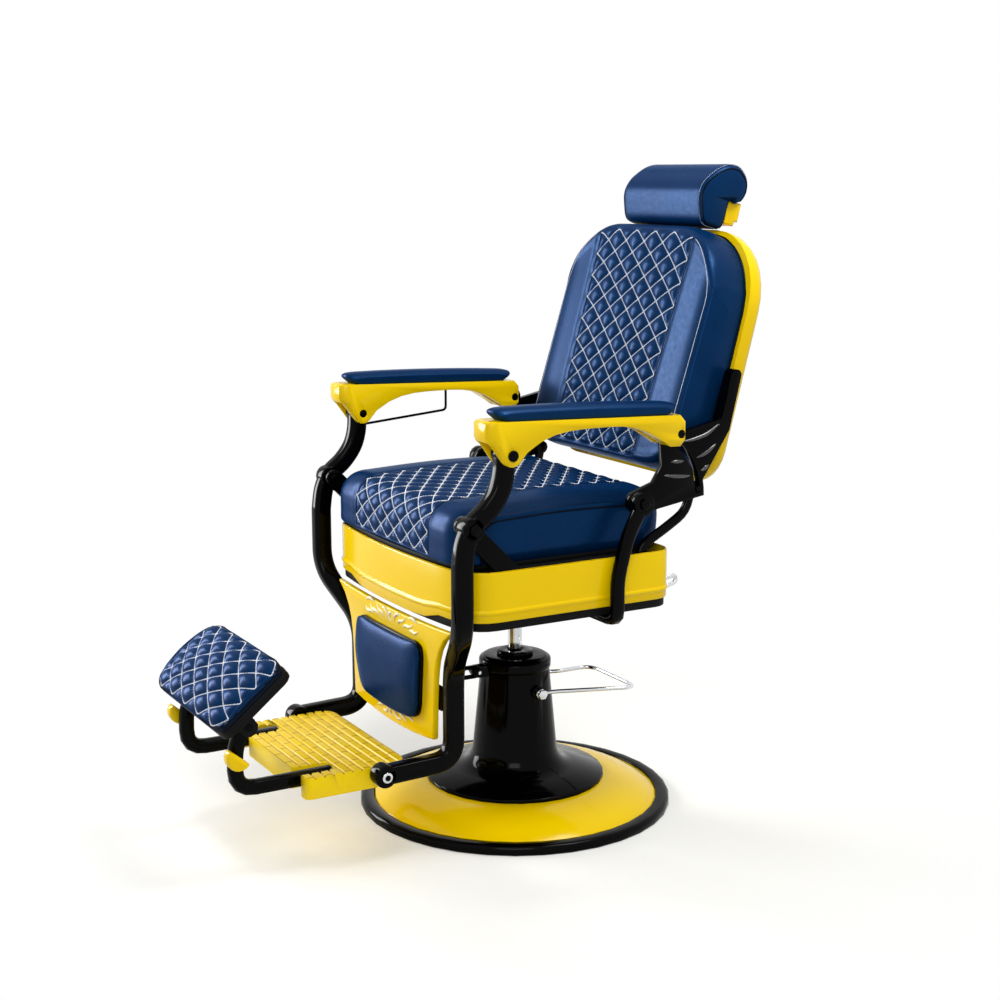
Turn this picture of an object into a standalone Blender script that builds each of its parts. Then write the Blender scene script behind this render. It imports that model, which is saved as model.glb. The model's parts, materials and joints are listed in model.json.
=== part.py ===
"""Barber chair with a hydraulic pump, a reclining back, linked armrests and a leg rest.

Metres, +Z up. The sitter faces -Y with their left at +X. The origin is the middle of the base, on the floor.
"""

import math

import bmesh
import bpy
from mathutils import Vector

for old in list(bpy.data.objects):
    bpy.data.objects.remove(old)

# Fits between pieces
TOUCH = 0.0003
PIN_PLAY = 0.0003
SIDE_PLAY = 0.0015

# Floor base
BASE_RADIUS = 0.310
RIM_WIDTH = 0.026
RIM_HEIGHT = 0.018
BASE_PLATE_THICK = 0.008
COVER_EDGE_HEIGHT = 0.017
COVER_TOP_HEIGHT = 0.050
COVER_WALL = 0.004
COVER_HOLE_RADIUS = 0.100

# Pump column
SKIRT_RADIUS = 0.178
COLUMN_TOP = 0.298
COLUMN_TOP_RADIUS = 0.067
COLUMN_FOOT_RADIUS = 0.087
COLUMN_FOOT_HEIGHT = 0.078
COLUMN_FILLET = 0.034
COLUMN_CROWN_RADIUS = 0.008
SKIRT_LIP = 0.008
COLUMN_WALL = 0.006

# Hydraulic rod and its cylinder
ROD_RADIUS = 0.014
ROD_FOOT = 0.120
PISTON_HEAD_RADIUS = 0.0162
PISTON_HEAD_HEIGHT = 0.020
CYLINDER_RADIUS = 0.030
CYLINDER_FLANGE_RADIUS = 0.060
CYLINDER_FLANGE_THICK = 0.008
CYLINDER_FLOOR = 0.012
CYLINDER_HEADROOM = 0.0125
GLAND_RADIUS = 0.036
GLAND_SPIGOT_RADIUS = 0.0185
GLAND_THICK = 0.008
ROD_SHOULDER_HEIGHT = 0.385
ROD_SHOULDER_RADIUS = 0.022
ROD_SHOULDER_THICK = 0.007
BEARING_THICK = 0.0045
SOCKET_HEIGHT = 0.0469
SOCKET_RADIUS = 0.045
SOCKET_FLANGE_RADIUS = 0.075
SOCKET_FLANGE_THICK = 0.009
SOCKET_BORE_DEPTH = 0.036

# Pump pedal and lock lever, chrome wire
WIRE_RADIUS = 0.0045
PEDAL_PIVOT_Y = 0.006
PEDAL_HEIGHT = 0.237
PEDAL_REACH = 0.195
PEDAL_LEFT = 0.145
PEDAL_RIGHT = 0.024
PEDAL_EYE_RADIUS = 0.010
PEDAL_EYE_WIDTH = 0.010
PEDAL_BOSS_REACH = 0.082
PEDAL_BOSS_RADIUS = 0.013
PEDAL_BOLT_RADIUS = 0.006
PEDAL_HEAD_RADIUS = 0.010
PEDAL_HEAD_THICK = 0.006
LOCK_HEIGHT = 0.2735
LOCK_REACH = 0.157
LOCK_PIN_OFFSET = 0.018
LOCK_PIN_RADIUS = 0.004
LOCK_EYE_RADIUS = 0.0095
LOCK_EYE_WIDTH = 0.018
LOCK_EAR_THICK = 0.006
LOCK_LOOP_HALF_GAP = 0.0095

# Seat
SEAT_HALF_WIDTH = 0.260
SEAT_FRONT = -0.272
SEAT_REAR = 0.178
SEAT_UNDERSIDE = 0.437
SEAT_PLATE_THICK = 0.023
APRON_DROP = 0.016
APRON_HEIGHT = 0.092
APRON_WALL = 0.004
APRON_FRONT = -0.255
APRON_REAR = 0.180
APRON_BOW = 0.022
APRON_FRONT_RADIUS = 0.055
APRON_REAR_RADIUS = 0.040
APRON_DIP = 0.014
APRON_DIP_HALF_WIDTH = 0.145
APRON_BEAD = 0.0025
APRON_BEAD_OFFSET = 0.018
RAIL_WIDTH = 0.022
RAIL_FRONT = -0.205
RAIL_REAR = 0.130
SEAT_BOARD_THICK = 0.008
SEAT_CUSHION_THICK = 0.108
SEAT_FRONT_ROLL = 0.050
SEAT_CUSHION_CORNER = 0.050
SEAT_SIDE_ROLL = 0.055

# Layers from the seat's side outwards
RAIL_CLEARANCE = 0.005
HANGER_THICK = 0.0135
APRON_CLEARANCE = 0.002
STAY_THICK = 0.012
BRACKET_THICK = 0.014
REAR_POST_WIDTH = 0.018
FRONT_POST_WIDTH = 0.030
FRONT_POST_DEPTH = 0.036
ARM_INNER_CHEEK = 0.0085
ARM_WIDTH = 0.060

# Linkage pivots, as Y and Z
LUG_PIVOT = (-0.197, 0.758)
LINK_RUN = 0.066
LINK_RISE = 0.126
BACK_PIVOT = (0.091, 0.643)
LUG_EYE_RADIUS = 0.019
KNUCKLE_RADIUS = 0.023
BACK_EYE_RADIUS = 0.022
PIN_RADIUS = 0.008
PIN_HEAD_RADIUS = 0.0100
PIN_HEAD_THICK = 0.004
QUADRANT_RADIUS = 0.132
QUADRANT_START = 6.0
QUADRANT_SWEEP = 40.0
QUADRANT_PIN_RADIUS = 0.005
QUADRANT_RIM = 0.014
STAY_WIDTH = 0.018
STAY_NECK = (0.010, 0.045)
STAY_ELBOW = (0.060, 0.075)
STAY_FOOT = (0.108, 0.500)
STAY_FOOT_HEIGHT = 0.055
HANGER_BEND = (-0.172, 0.540)
HANGER_FOOT = (-0.158, 0.500)
HANGER_FOOT_RADIUS = 0.018
REAR_POST_DEPTH = 0.026
REAR_POST_NECK = (0.033, 0.062)
REAR_POST_KNEE = (0.052, 0.135)
REAR_POST_BEND = 0.022
REAR_POST_INNER_END = 0.160

# Armrests, their heights measured from the lug pivot
ARM_FRONT = -0.250
ARM_REAR = 0.171
ARM_TOP_FRONT = 0.060
ARM_TOP_REAR = 0.045
ARM_ARCH_HEIGHT = 0.036
ARM_NOSE_RADIUS = 0.024
ARM_HEEL_RADIUS = 0.012
ARM_NOSE_REACH = 0.045
ARM_PAD_CROWN = 0.026
ARM_PAD_INSET = 0.004
TOWEL_WIRE_RADIUS = 0.003
TOWEL_DROP = 0.060
TOWEL_STANDOFF = 0.014

# Back, measured up its slope from its foot and forwards from the shell's face
BACK_FOOT = (0.262, 0.655)
BACK_TILT = 15.0
BACK_TOP = 0.478
BACK_TOP_RADIUS = 0.150
BACK_LOW_RADIUS = 0.070
BACK_THICK_LOW = 0.098
BACK_THICK_TOP = 0.086
BACK_SIDE_ROLL = 0.035
BACK_PANEL_TAPER = 0.20
SHELL_MARGIN = 0.008
SHELL_THICK = 0.037
BACK_ARM_BOLT = 0.214
BACK_ARM_LOW = 0.112
BACK_ARM_WIDTH = 0.024
BACK_ARM_OUT = 0.010
BACK_PLATE_TOP = 0.128

# Headrest
HEADREST_HALF_WIDTH = 0.136
HEADREST_BAR_WIDTH = 0.050
HEADREST_BAR_THICK = 0.008
HEADREST_BAR_LENGTH = 0.200
HEADREST_BAR_DEPTH = 0.018
HEADREST_GUIDE_THICK = 0.005
HEADREST_GAP = 0.008
HEADREST_PLATE_HALF_WIDTH = 0.128
HEADREST_PLATE_THICK = 0.035
HEADREST_PLATE_SETBACK = 0.012
HEADREST_PLATE_HEIGHT = 0.047
HEADREST_HANG = 0.0134
HEADREST_DEPTH = 0.0525
HEADREST_ROLL = 0.128
HEADREST_HOOK_GAP = 0.004
HEADREST_FLANGE_THICK = 0.010

# Leg rest
LEG_STEP = 0.1038
LEG_BEND = 0.042
POST_NECK = (0.006, 0.046)
FRONT_POST_ROUND = 0.009
LEG_Y = -0.243
LEG_UPPER_Y = -0.280
LEG_KINK_TOP = 0.445
LEG_KINK_LOW = 0.352
PLATFORM_PIVOT = (-0.386, 0.176)
PLATFORM_EYE_RADIUS = 0.021
CALF_STANDOFF = 0.0165
CROSS_BAR_THICK = 0.014
CROSS_BAR_DEPTH = 0.040
CROSS_BAR_HEIGHT = 0.290
CALF_TOP = 0.432
CALF_LOW = 0.214
CALF_TOP_HALF_WIDTH = 0.240
CALF_SIDE_GAP = 0.0015
CALF_LOW_HALF_WIDTH = 0.168
CALF_THICK = 0.012
CALF_TOP_SAG = 0.008
CALF_LOW_BULGE = 0.013
CALF_PAD_TOP = 0.388
CALF_PAD_LOW = 0.244
CALF_PAD_TOP_HALF_WIDTH = 0.135
CALF_PAD_LOW_HALF_WIDTH = 0.122
CALF_PAD_BOARD_THICK = 0.006
CALF_PAD_CROWN = 0.024

# Foot platform and foot pad
PLATFORM_SIDE_GAP = 0.008
PLATFORM_REAR = -0.325
PLATFORM_FRONT = -0.525
PLATFORM_TOP = 0.186
PLATFORM_THICK = 0.040
PLATFORM_CORNER = 0.030
TREAD_GROOVES = 10
TREAD_GROOVE_DEPTH = 0.003
TREAD_GROOVE_WIDTH = 0.006
PLATFORM_BOLT_RADIUS = 0.006
PLATFORM_BOLT_DEPTH = 0.030
PAD_ARM_INSET = 0.047
PAD_ARM_WIDTH = 0.025
PAD_ARM_DEPTH = 0.028
PAD_SLOT_WIDTH = 0.045
PAD_SLOT_DEPTH = 0.070
PAD_PIVOT = (-0.620, 0.290)
PAD_EYE_RADIUS = 0.018
PAD_STUB_RADIUS = 0.006
PAD_LUG_THICK = 0.010
HINGE_CAP_RADIUS = 0.023
HINGE_CAP_WIDTH = 0.022
FOOT_PAD_TILT = 39.0
FOOT_PAD_HALF_WIDTH = 0.171
FOOT_PAD_LENGTH = 0.158
FOOT_PAD_RISE = 0.035
FOOT_PAD_OFFSET = 0.0015
FOOT_BOARD_THICK = 0.018
FOOT_CUSHION_THICK = 0.026

# Recline lever under the seat's rear edge
RECLINE_LEVER_X = 0.150
RECLINE_LEVER_PIVOT = (0.192, 0.4265)
RECLINE_LEVER_TIP = 0.283
RECLINE_LEVER_RISE = 0.024
LEVER_BLOCK_WIDTH = 0.026
LEVER_EYE_WIDTH = 0.012
LEVER_EYE_RADIUS = 0.009

# Quilting: width and height of one diamond, and how far it swells
SEAT_DIAMOND = (0.055, 0.040)
BACK_DIAMOND = (0.064, 0.045)
QUILT_SWELL = 0.0035
SEAT_DIAMONDS_ACROSS = 5.5
BACK_DIAMONDS_ACROSS = 5
FOOT_DIAMONDS = (6.5, 6.5)

# Layers worked out from the sizes above, as distances from the middle
rail_face = SEAT_HALF_WIDTH + RAIL_CLEARANCE
hanger_span = (rail_face + TOUCH, rail_face + TOUCH + HANGER_THICK)
apron_half_width = hanger_span[1] + APRON_CLEARANCE + APRON_WALL
stay_span = (rail_face + TOUCH, rail_face + TOUCH + STAY_THICK)
bracket_span = (stay_span[1] + SIDE_PLAY, stay_span[1] + SIDE_PLAY + BRACKET_THICK)
rear_post_span = (bracket_span[1] + SIDE_PLAY, bracket_span[1] + SIDE_PLAY + REAR_POST_WIDTH)
arm_span = (
    bracket_span[0] - SIDE_PLAY - ARM_INNER_CHEEK,
    bracket_span[0] - SIDE_PLAY - ARM_INNER_CHEEK + ARM_WIDTH,
)
arm_middle = sum(arm_span) / 2
front_post_span = (arm_middle - FRONT_POST_WIDTH / 2, arm_middle + FRONT_POST_WIDTH / 2)
leg_x = arm_middle - LEG_STEP
leg_inner = leg_x - FRONT_POST_WIDTH / 2
platform_half_width = leg_inner - PLATFORM_SIDE_GAP
pad_arm_x = platform_half_width - PAD_ARM_INSET
shell_half_width = rail_face
back_half_width = shell_half_width - SHELL_MARGIN

# Pivots worked out from the linkage
knuckle_pivot = (LUG_PIVOT[0] - LINK_RUN, LUG_PIVOT[1] - LINK_RISE)
rear_arm_pivot = (BACK_PIVOT[0] + LINK_RUN, BACK_PIVOT[1] + LINK_RISE)
lock_pin = (
    BACK_PIVOT[0] + QUADRANT_RADIUS * math.cos(math.radians(QUADRANT_START)),
    BACK_PIVOT[1] + QUADRANT_RADIUS * math.sin(math.radians(QUADRANT_START)),
)

# Heights worked out from the seat's underside
apron_low = SEAT_UNDERSIDE + APRON_DROP
apron_top = apron_low + APRON_HEIGHT
seat_board_low = apron_top + TOUCH
seat_cushion_low = seat_board_low + SEAT_BOARD_THICK + TOUCH
seat_foot = SEAT_UNDERSIDE - SOCKET_HEIGHT

# Where the seat's socket stands on the rod
socket_low = ROD_SHOULDER_HEIGHT + TOUCH + BEARING_THICK + TOUCH

FINISHES = {
    "yellow_enamel": ("F2B705", 0.15, 0.0),
    "black_enamel": ("0B0B0D", 0.18, 0.0),
    "chrome": ("D9DBDE", 0.08, 1.0),
    "navy_leather": ("101A38", 0.45, 0.0),
    "black_board": ("121214", 0.55, 0.0),
    "bare_steel": ("8D9094", 0.35, 1.0),
}


def material(look):
    """The Principled material of one finish, made once."""
    found = bpy.data.materials.get(look)
    if found:
        return found
    colour, roughness, metallic = FINISHES[look]
    made = bpy.data.materials.new(look)
    made.use_nodes = True
    shader = made.node_tree.nodes["Principled BSDF"]
    levels = [int(colour[i : i + 2], 16) / 255 for i in (0, 2, 4)]
    linear = [((level + 0.055) / 1.055) ** 2.4 if level > 0.04 else level / 12.92 for level in levels]
    shader.inputs["Base Color"].default_value = (*linear, 1.0)
    shader.inputs["Roughness"].default_value = roughness
    shader.inputs["Metallic"].default_value = metallic
    return made


def add_part(name, points, faces, look=None):
    """A closed mesh object. Without a look it is a tool for a Boolean."""
    shape = bmesh.new()
    corners = [shape.verts.new(Vector(point)) for point in points]
    for face in faces:
        shape.faces.new([corners[index] for index in face])
    bmesh.ops.recalc_face_normals(shape, faces=shape.faces)
    mesh = bpy.data.meshes.new(name)
    shape.to_mesh(mesh)
    shape.free()
    part = bpy.data.objects.new(name, mesh)
    bpy.context.collection.objects.link(part)
    if look:
        mesh.materials.append(material(look))
    return part


def settle(part):
    """Turns the part's modifiers into its mesh."""
    graph = bpy.context.evaluated_depsgraph_get()
    mesh = bpy.data.meshes.new_from_object(part.evaluated_get(graph))
    looks = list(part.data.materials)
    part.modifiers.clear()
    mesh.materials.clear()
    for look in looks:
        mesh.materials.append(look)
    part.data = mesh


def combine(part, tool, operation):
    step = part.modifiers.new("combine", "BOOLEAN")
    step.operation = operation
    step.solver = "EXACT"
    step.object = tool
    settle(part)
    bpy.data.objects.remove(tool)


def cut(part, *tools):
    for tool in tools:
        combine(part, tool, "DIFFERENCE")


def fuse(part, *tools):
    for tool in tools:
        combine(part, tool, "UNION")


def soften(part, width, steps=1, angle=40.0):
    """Rounds the part's sharp edges."""
    step = part.modifiers.new("soften", "BEVEL")
    step.width = width
    step.segments = steps
    step.limit_method = "ANGLE"
    step.angle_limit = math.radians(angle)
    settle(part)


def shade(part, angle=35.0):
    part.data.shade_smooth()
    part.data.set_sharp_from_angle(angle=math.radians(angle))


def ring_faces(count, size, closed):
    """Quads between count rings of size points each, joined end to end when closed."""
    faces = []
    for ring in range(count if closed else count - 1):
        after = (ring + 1) % count
        for i in range(size):
            j = (i + 1) % size
            faces.append((ring * size + i, ring * size + j, after * size + j, after * size + i))
    return faces


def ring_solid(name, rings, look=None, closed=False):
    """A solid through rings of equal size, with flat ends unless the rings close on themselves."""
    size = len(rings[0])
    faces = ring_faces(len(rings), size, closed)
    if not closed:
        faces.append(tuple(range(size)))
        faces.append(tuple((len(rings) - 1) * size + i for i in range(size)))
    return add_part(name, [point for ring in rings for point in ring], faces, look)


def turned(name, profile, look=None, sides=48):
    """A solid of revolution about Z. The profile is a closed run of (radius, height) points."""
    points, starts = [], []
    for radius, height in profile:
        starts.append(len(points))
        copies = sides if radius > 0 else 1
        for i in range(copies):
            turn = 2 * math.pi * i / sides
            points.append((radius * math.cos(turn), radius * math.sin(turn), height))
    faces = []
    for step, (radius, _) in enumerate(profile):
        after = (step + 1) % len(profile)
        if radius == 0 and profile[after][0] == 0:
            continue
        for i in range(sides):
            j = (i + 1) % sides
            low = [starts[step] + (i if radius > 0 else 0), starts[step] + (j if radius > 0 else 0)]
            high_round = profile[after][0] > 0
            high = [starts[after] + (j if high_round else 0), starts[after] + (i if high_round else 0)]
            faces.append(tuple(dict.fromkeys(low + high)))
    return add_part(name, points, faces, look)


def rod(name, start, end, radius, look=None, sides=12):
    start, end = Vector(start), Vector(end)
    turn = (end - start).to_track_quat("Z", "Y")
    ring = [
        turn @ Vector((radius * math.cos(a), radius * math.sin(a), 0))
        for a in (2 * math.pi * i / sides for i in range(sides))
    ]
    return ring_solid(name, [[start + p for p in ring], [end + p for p in ring]], look)


def cross_rod(name, pivot, low, high, radius, look=None, sides=12):
    """A rod along X through a (Y, Z) pivot."""
    return rod(name, (low, *pivot), (high, *pivot), radius, look, sides)


def prism(name, outline, axis, low, high, look=None):
    """An outline drawn square to an axis, carried from low to high along it."""
    def lift(point, level):
        place = list(point)
        place.insert("XYZ".index(axis), level)
        return tuple(place)

    return ring_solid(name, [[lift(p, low) for p in outline], [lift(p, high) for p in outline]], look)


def block(name, low, high, look=None):
    outline = [(low[0], low[1]), (high[0], low[1]), (high[0], high[1]), (low[0], high[1])]
    return prism(name, outline, "Z", low[2], high[2], look)


def arc(middle, radius, start, end, steps):
    """Points on a circle from one angle to another, in degrees."""
    return [
        (middle[0] + radius * math.cos(a), middle[1] + radius * math.sin(a))
        for a in (math.radians(start + (end - start) * i / steps) for i in range(steps + 1))
    ]


def link_outline(first, first_radius, second, second_radius, steps=8):
    """The outline of a flat link: two round ends and the straight edges between them."""
    run = Vector(second) - Vector(first)
    heading = math.degrees(math.atan2(run.y, run.x))
    spread = math.degrees(math.acos((first_radius - second_radius) / run.length))
    return arc(first, first_radius, heading + spread, heading + 360 - spread, steps) + arc(
        second, second_radius, heading - spread, heading + spread, steps
    )


def bent(points, radius, steps=4):
    """A run of straight legs with its corners rounded."""
    points = [Vector(point) for point in points]
    path = [points[0]]
    for before, corner, after in zip(points, points[1:], points[2:]):
        reach = min(radius, (before - corner).length * 0.49, (after - corner).length * 0.49)
        start = corner + (before - corner).normalized() * reach
        end = corner + (after - corner).normalized() * reach
        for i in range(steps + 1):
            t = i / steps
            path.append(start * (1 - t) ** 2 + corner * 2 * t * (1 - t) + end * t**2)
    path.append(points[-1])
    return path


def round_section(radius, sides=6):
    return [
        (radius * math.cos(2 * math.pi * i / sides), radius * math.sin(2 * math.pi * i / sides))
        for i in range(sides)
    ]


def bar_section(width, depth, corner, steps=2):
    """A rectangle with rounded corners, its width along the first axis."""
    across, up = width / 2 - corner, depth / 2 - corner
    outline = []
    corners = ((across, up), (-across, up), (-across, -up), (across, -up))
    for middle, start in zip(corners, (0, 90, 180, 270)):
        outline += arc(middle, corner, start, start + 90, steps)
    return outline


def swept(name, path, section, look=None, side=(1, 0, 0), level=False):
    """A section carried along a path. Its width starts along side, and keeps to it when level."""
    path = [Vector(point) for point in path]
    headings = [(after - before).normalized() for before, after in zip(path, path[1:])]
    rings = []
    for i, point in enumerate(path):
        normal = (headings[max(i - 1, 0)] + headings[min(i, len(headings) - 1)]).normalized()
        if i == 0 or level:
            across = Vector(side) - normal * normal.dot(Vector(side))
            across.normalize()
            up = normal.cross(across)
            rings.append([point + across * a + up * b for a, b in section])
        else:
            ahead = headings[i - 1]
            rings.append([p + ahead * ((point - p).dot(normal) / ahead.dot(normal)) for p in rings[-1]])
    return ring_solid(name, rings, look)


def mirrored(points, sign):
    return [(sign * x, y, z) for x, y, z in points]


def smooth_step(value):
    value = min(max(value, 0.0), 1.0)
    return value * value * (3 - 2 * value)


def seat_outline(
    inset, half_width, front, rear, bow, front_radius, rear_radius, edge_steps=10, corner_steps=5
):
    """Plan of the seat as (x, y), front edge bowed forwards, drawn in by an inset."""
    half_width, front, rear = half_width - inset, front + inset, rear - inset
    front_radius, rear_radius = front_radius - inset, rear_radius - inset
    outline = arc((half_width - rear_radius, rear - rear_radius), rear_radius, 0, 90, corner_steps)
    outline += arc((rear_radius - half_width, rear - rear_radius), rear_radius, 90, 180, corner_steps)
    outline += arc((front_radius - half_width, front + front_radius), front_radius, 180, 270, corner_steps)
    flat = half_width - front_radius
    outline += [(flat * (2 * i / edge_steps - 1), front) for i in range(1, edge_steps)]
    outline += arc((half_width - front_radius, front + front_radius), front_radius, 270, 360, corner_steps)

    def bowed(x, y):
        share = smooth_step((front + front_radius - y) / front_radius)
        return (x, y - bow * share * (1 - (x / half_width) ** 2))

    return [bowed(x, y) for x, y in outline]


def pad(name, columns, profile, ends, place, look, panel=None, tuck=0.003):
    """A cushion on a flat base: crowned, tucked in at its foot, and quilted inside a panel.

    columns: (x, share of the height) from side to side, the outermost lying on the base
    profile: (s, h) along the middle, from one edge of the base over the crown to the other
    ends: gives the two edges of the base at x
    panel: (first column, last column, first row, last row) that carries diamonds
    """
    low_middle, high_middle = ends(0.0)
    last_row, last_column = len(profile) - 1, len(columns) - 1
    half_width = columns[-1][0] - tuck
    points = []
    for row, (s, h) in enumerate(profile):
        before, after = profile[max(row - 1, 0)], profile[min(row + 1, last_row)]
        run, rise = after[0] - before[0], after[1] - before[1]
        length = math.hypot(run, rise)
        for column, (x, share) in enumerate(columns):
            on_base = row in (0, last_row)
            if on_base:
                x = half_width * (2 * column / last_column - 1)
            if column in (0, last_column):
                x = math.copysign(half_width, x)
            low, high = ends(x)
            if on_base or column in (0, last_column):
                inward = math.copysign(tuck, high - low)
                where = low + inward + (high - low - 2 * inward) * row / last_row
                points.append(place(x, where, 0.0))
                continue
            where = low + (s - low_middle) * (high - low) / (high_middle - low_middle)
            height = h * share
            if panel and panel[0] <= column <= panel[1] and panel[2] <= row <= panel[3]:
                swell = QUILT_SWELL if (row + column) % 2 else -QUILT_SWELL
                where -= swell * rise / length
                height += swell * run / length
            points.append(place(x, where, height))
    faces = []
    wide = last_column + 1
    for row in range(last_row):
        for column in range(last_column):
            a = row * wide + column
            b, c, d = a + 1, a + wide + 1, a + wide
            if (row + column) % 2 == 0:
                faces += [(a, b, c), (a, c, d)]
            else:
                faces += [(a, b, d), (b, c, d)]
    edge = [column for column in range(wide)]
    edge += [row * wide + last_column for row in range(1, last_row + 1)]
    edge += [last_row * wide + column for column in range(last_column - 1, -1, -1)]
    edge += [row * wide for row in range(last_row - 1, 0, -1)]
    faces.append(tuple(edge))
    return add_part(name, points, faces, look)


def pad_columns(half_width, panel_half_width, panel_steps, roll, drop, rim_steps=4):
    """Column places for a pad: even over the panel, closer over the rolled sides."""
    panel = [panel_half_width * (2 * i / panel_steps - 1) for i in range(panel_steps + 1)]
    rim = [
        panel_half_width + (half_width - panel_half_width) * math.sin(math.pi / 2 * i / rim_steps)
        for i in range(1, rim_steps + 1)
    ]
    places = [-x for x in reversed(rim)] + panel + rim

    def share(x):
        over = max(0.0, abs(x) - (half_width - roll)) / roll
        return 1 - drop * over**2

    shares = [(x, share(x)) for x in places]
    return [(-half_width, 0.0)] + shares + [(half_width, 0.0)]


def rounded_end(x, half_width, radius):
    """How far a rounded corner falls back at x."""
    over = max(0.0, abs(x) - (half_width - radius))
    return radius - math.sqrt(max(radius**2 - over**2, 0.0))


# Floor base
rim_inner = BASE_RADIUS - RIM_WIDTH
cover_radius = rim_inner - TOUCH
rim_round = RIM_HEIGHT * 0.45
rim_profile = [(rim_inner, 0.0), (BASE_RADIUS, 0.0)]
rim_profile += arc((BASE_RADIUS - rim_round, RIM_HEIGHT - rim_round), rim_round, 0, 90, 3)
rim_profile += [(rim_inner, RIM_HEIGHT)]
base_rim_ring = turned("base_rim_ring", rim_profile, "black_enamel", 36)
base_plate = turned(
    "base_plate",
    [(0, 0), (cover_radius, 0), (cover_radius, BASE_PLATE_THICK), (0, BASE_PLATE_THICK)],
    "bare_steel",
    36,
)

cover_low = BASE_PLATE_THICK + TOUCH
dome = []
dome_edge = cover_radius - COVER_WALL
for step in range(4):
    along = step / 3
    rise = (COVER_TOP_HEIGHT - COVER_EDGE_HEIGHT) * math.sin(math.pi / 2 * along)
    dome.append((dome_edge - (dome_edge - SKIRT_RADIUS) * along, COVER_EDGE_HEIGHT + rise))
cover_profile = [(cover_radius, cover_low), (cover_radius, COVER_EDGE_HEIGHT - COVER_WALL)] + dome
cover_profile += [(COVER_HOLE_RADIUS, COVER_TOP_HEIGHT), (COVER_HOLE_RADIUS, COVER_TOP_HEIGHT - COVER_WALL)]
cover_profile += [(radius, height - COVER_WALL) for radius, height in reversed(dome)]
cover_profile += [(dome_edge - COVER_WALL, cover_low)]
base_cover = turned("base_cover", cover_profile, "yellow_enamel", 36)

# Pump column
skirt_low = COVER_TOP_HEIGHT + TOUCH


def column_radius(height):
    """Outer radius of the column's straight taper."""
    along = (COLUMN_TOP - height) / (COLUMN_TOP - COLUMN_FOOT_HEIGHT)
    return COLUMN_TOP_RADIUS + (COLUMN_FOOT_RADIUS - COLUMN_TOP_RADIUS) * along


lip_top = skirt_low + SKIRT_LIP
column_crown = (COLUMN_TOP_RADIUS - COLUMN_CROWN_RADIUS, COLUMN_TOP - COLUMN_CROWN_RADIUS)
column_run = [
    (SKIRT_RADIUS - SKIRT_LIP / 4, lip_top),
    (COLUMN_FOOT_RADIUS, COLUMN_FOOT_HEIGHT),
    (COLUMN_TOP_RADIUS, COLUMN_TOP - COLUMN_CROWN_RADIUS),
]
column_profile = [(SKIRT_RADIUS, skirt_low), (SKIRT_RADIUS, lip_top - SKIRT_LIP / 4)]
column_profile += [tuple(point) for point in bent(column_run, COLUMN_FILLET, 5)[:-1]]
column_profile += arc(column_crown, COLUMN_CROWN_RADIUS, 0, 90, 3)
column_profile += [(GLAND_SPIGOT_RADIUS, COLUMN_TOP), (GLAND_SPIGOT_RADIUS, COLUMN_TOP - COLUMN_WALL)]
column_profile += [(COLUMN_TOP_RADIUS - COLUMN_WALL, COLUMN_TOP - COLUMN_WALL)]
column_profile += [(COLUMN_FOOT_RADIUS - COLUMN_WALL, COLUMN_FOOT_HEIGHT - COLUMN_WALL)]
column_profile += [(SKIRT_RADIUS - COLUMN_WALL, lip_top - COLUMN_WALL)]
column_profile += [(SKIRT_RADIUS - COLUMN_WALL, skirt_low)]
pump_column = turned("pump_column", column_profile, "black_enamel", 28)

pedal_pivot = (PEDAL_PIVOT_Y, PEDAL_HEIGHT)
boss_root = column_radius(PEDAL_HEIGHT) - COLUMN_WALL * 0.7
for side in (1, -1):
    boss = cross_rod("boss", pedal_pivot, side * boss_root, side * PEDAL_BOSS_REACH, PEDAL_BOSS_RADIUS)
    fuse(pump_column, boss)

lock_face = column_radius(LOCK_HEIGHT)
lock_pivot = (-(lock_face + LOCK_PIN_OFFSET), LOCK_HEIGHT)
ear_inner = LOCK_EYE_WIDTH / 2 + SIDE_PLAY / 2
ear_outline = [(-(lock_face - COLUMN_WALL * 0.7), LOCK_HEIGHT - LOCK_EYE_RADIUS)]
ear_outline += arc(lock_pivot, LOCK_EYE_RADIUS, 270, 90, 6)
ear_outline += [(-(lock_face - COLUMN_WALL * 0.7), LOCK_HEIGHT + LOCK_EYE_RADIUS)]
for side in (1, -1):
    ear = prism("ear", ear_outline, "X", side * ear_inner, side * (ear_inner + LOCK_EAR_THICK))
    fuse(pump_column, ear)
lock_pin_reach = ear_inner + LOCK_EAR_THICK
cut(pump_column, cross_rod("bore", lock_pivot, -0.05, 0.05, LOCK_PIN_RADIUS + PIN_PLAY))
swivel_lock_pin = cross_rod(
    "swivel_lock_pin", lock_pivot, -lock_pin_reach, lock_pin_reach, LOCK_PIN_RADIUS, "chrome", 12
)


def hairpin(name, pivot, tip, half_gap, x, eye_radius, eye_width, pin_radius, look):
    """A lever of bent wire: an eye along X, and a loop in the Y-Z plane that ends at the tip."""
    pivot, tip = Vector(pivot), Vector(tip)
    heading = (tip - pivot).normalized()
    up = Vector((-heading.y, heading.x)) * half_gap
    corner = tip - heading * WIRE_RADIUS
    run = [pivot + up, corner + up, corner - up, pivot - up]
    wire = swept(
        name, bent([(x, *point) for point in run], half_gap, 3), round_section(WIRE_RADIUS), look
    )
    low, high = x - eye_width / 2, x + eye_width / 2
    fuse(wire, cross_rod("eye", pivot, low, high, eye_radius + WIRE_RADIUS * 0.4))
    cut(wire, cross_rod("bore", pivot, low - eye_width, high + eye_width, pin_radius + PIN_PLAY))
    return wire


swivel_lock_lever = hairpin(
    "swivel_lock_lever",
    lock_pivot,
    (-LOCK_REACH, LOCK_HEIGHT),
    LOCK_LOOP_HALF_GAP,
    0.0,
    LOCK_EYE_RADIUS,
    LOCK_EYE_WIDTH,
    LOCK_PIN_RADIUS,
    "black_enamel",
)

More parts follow.
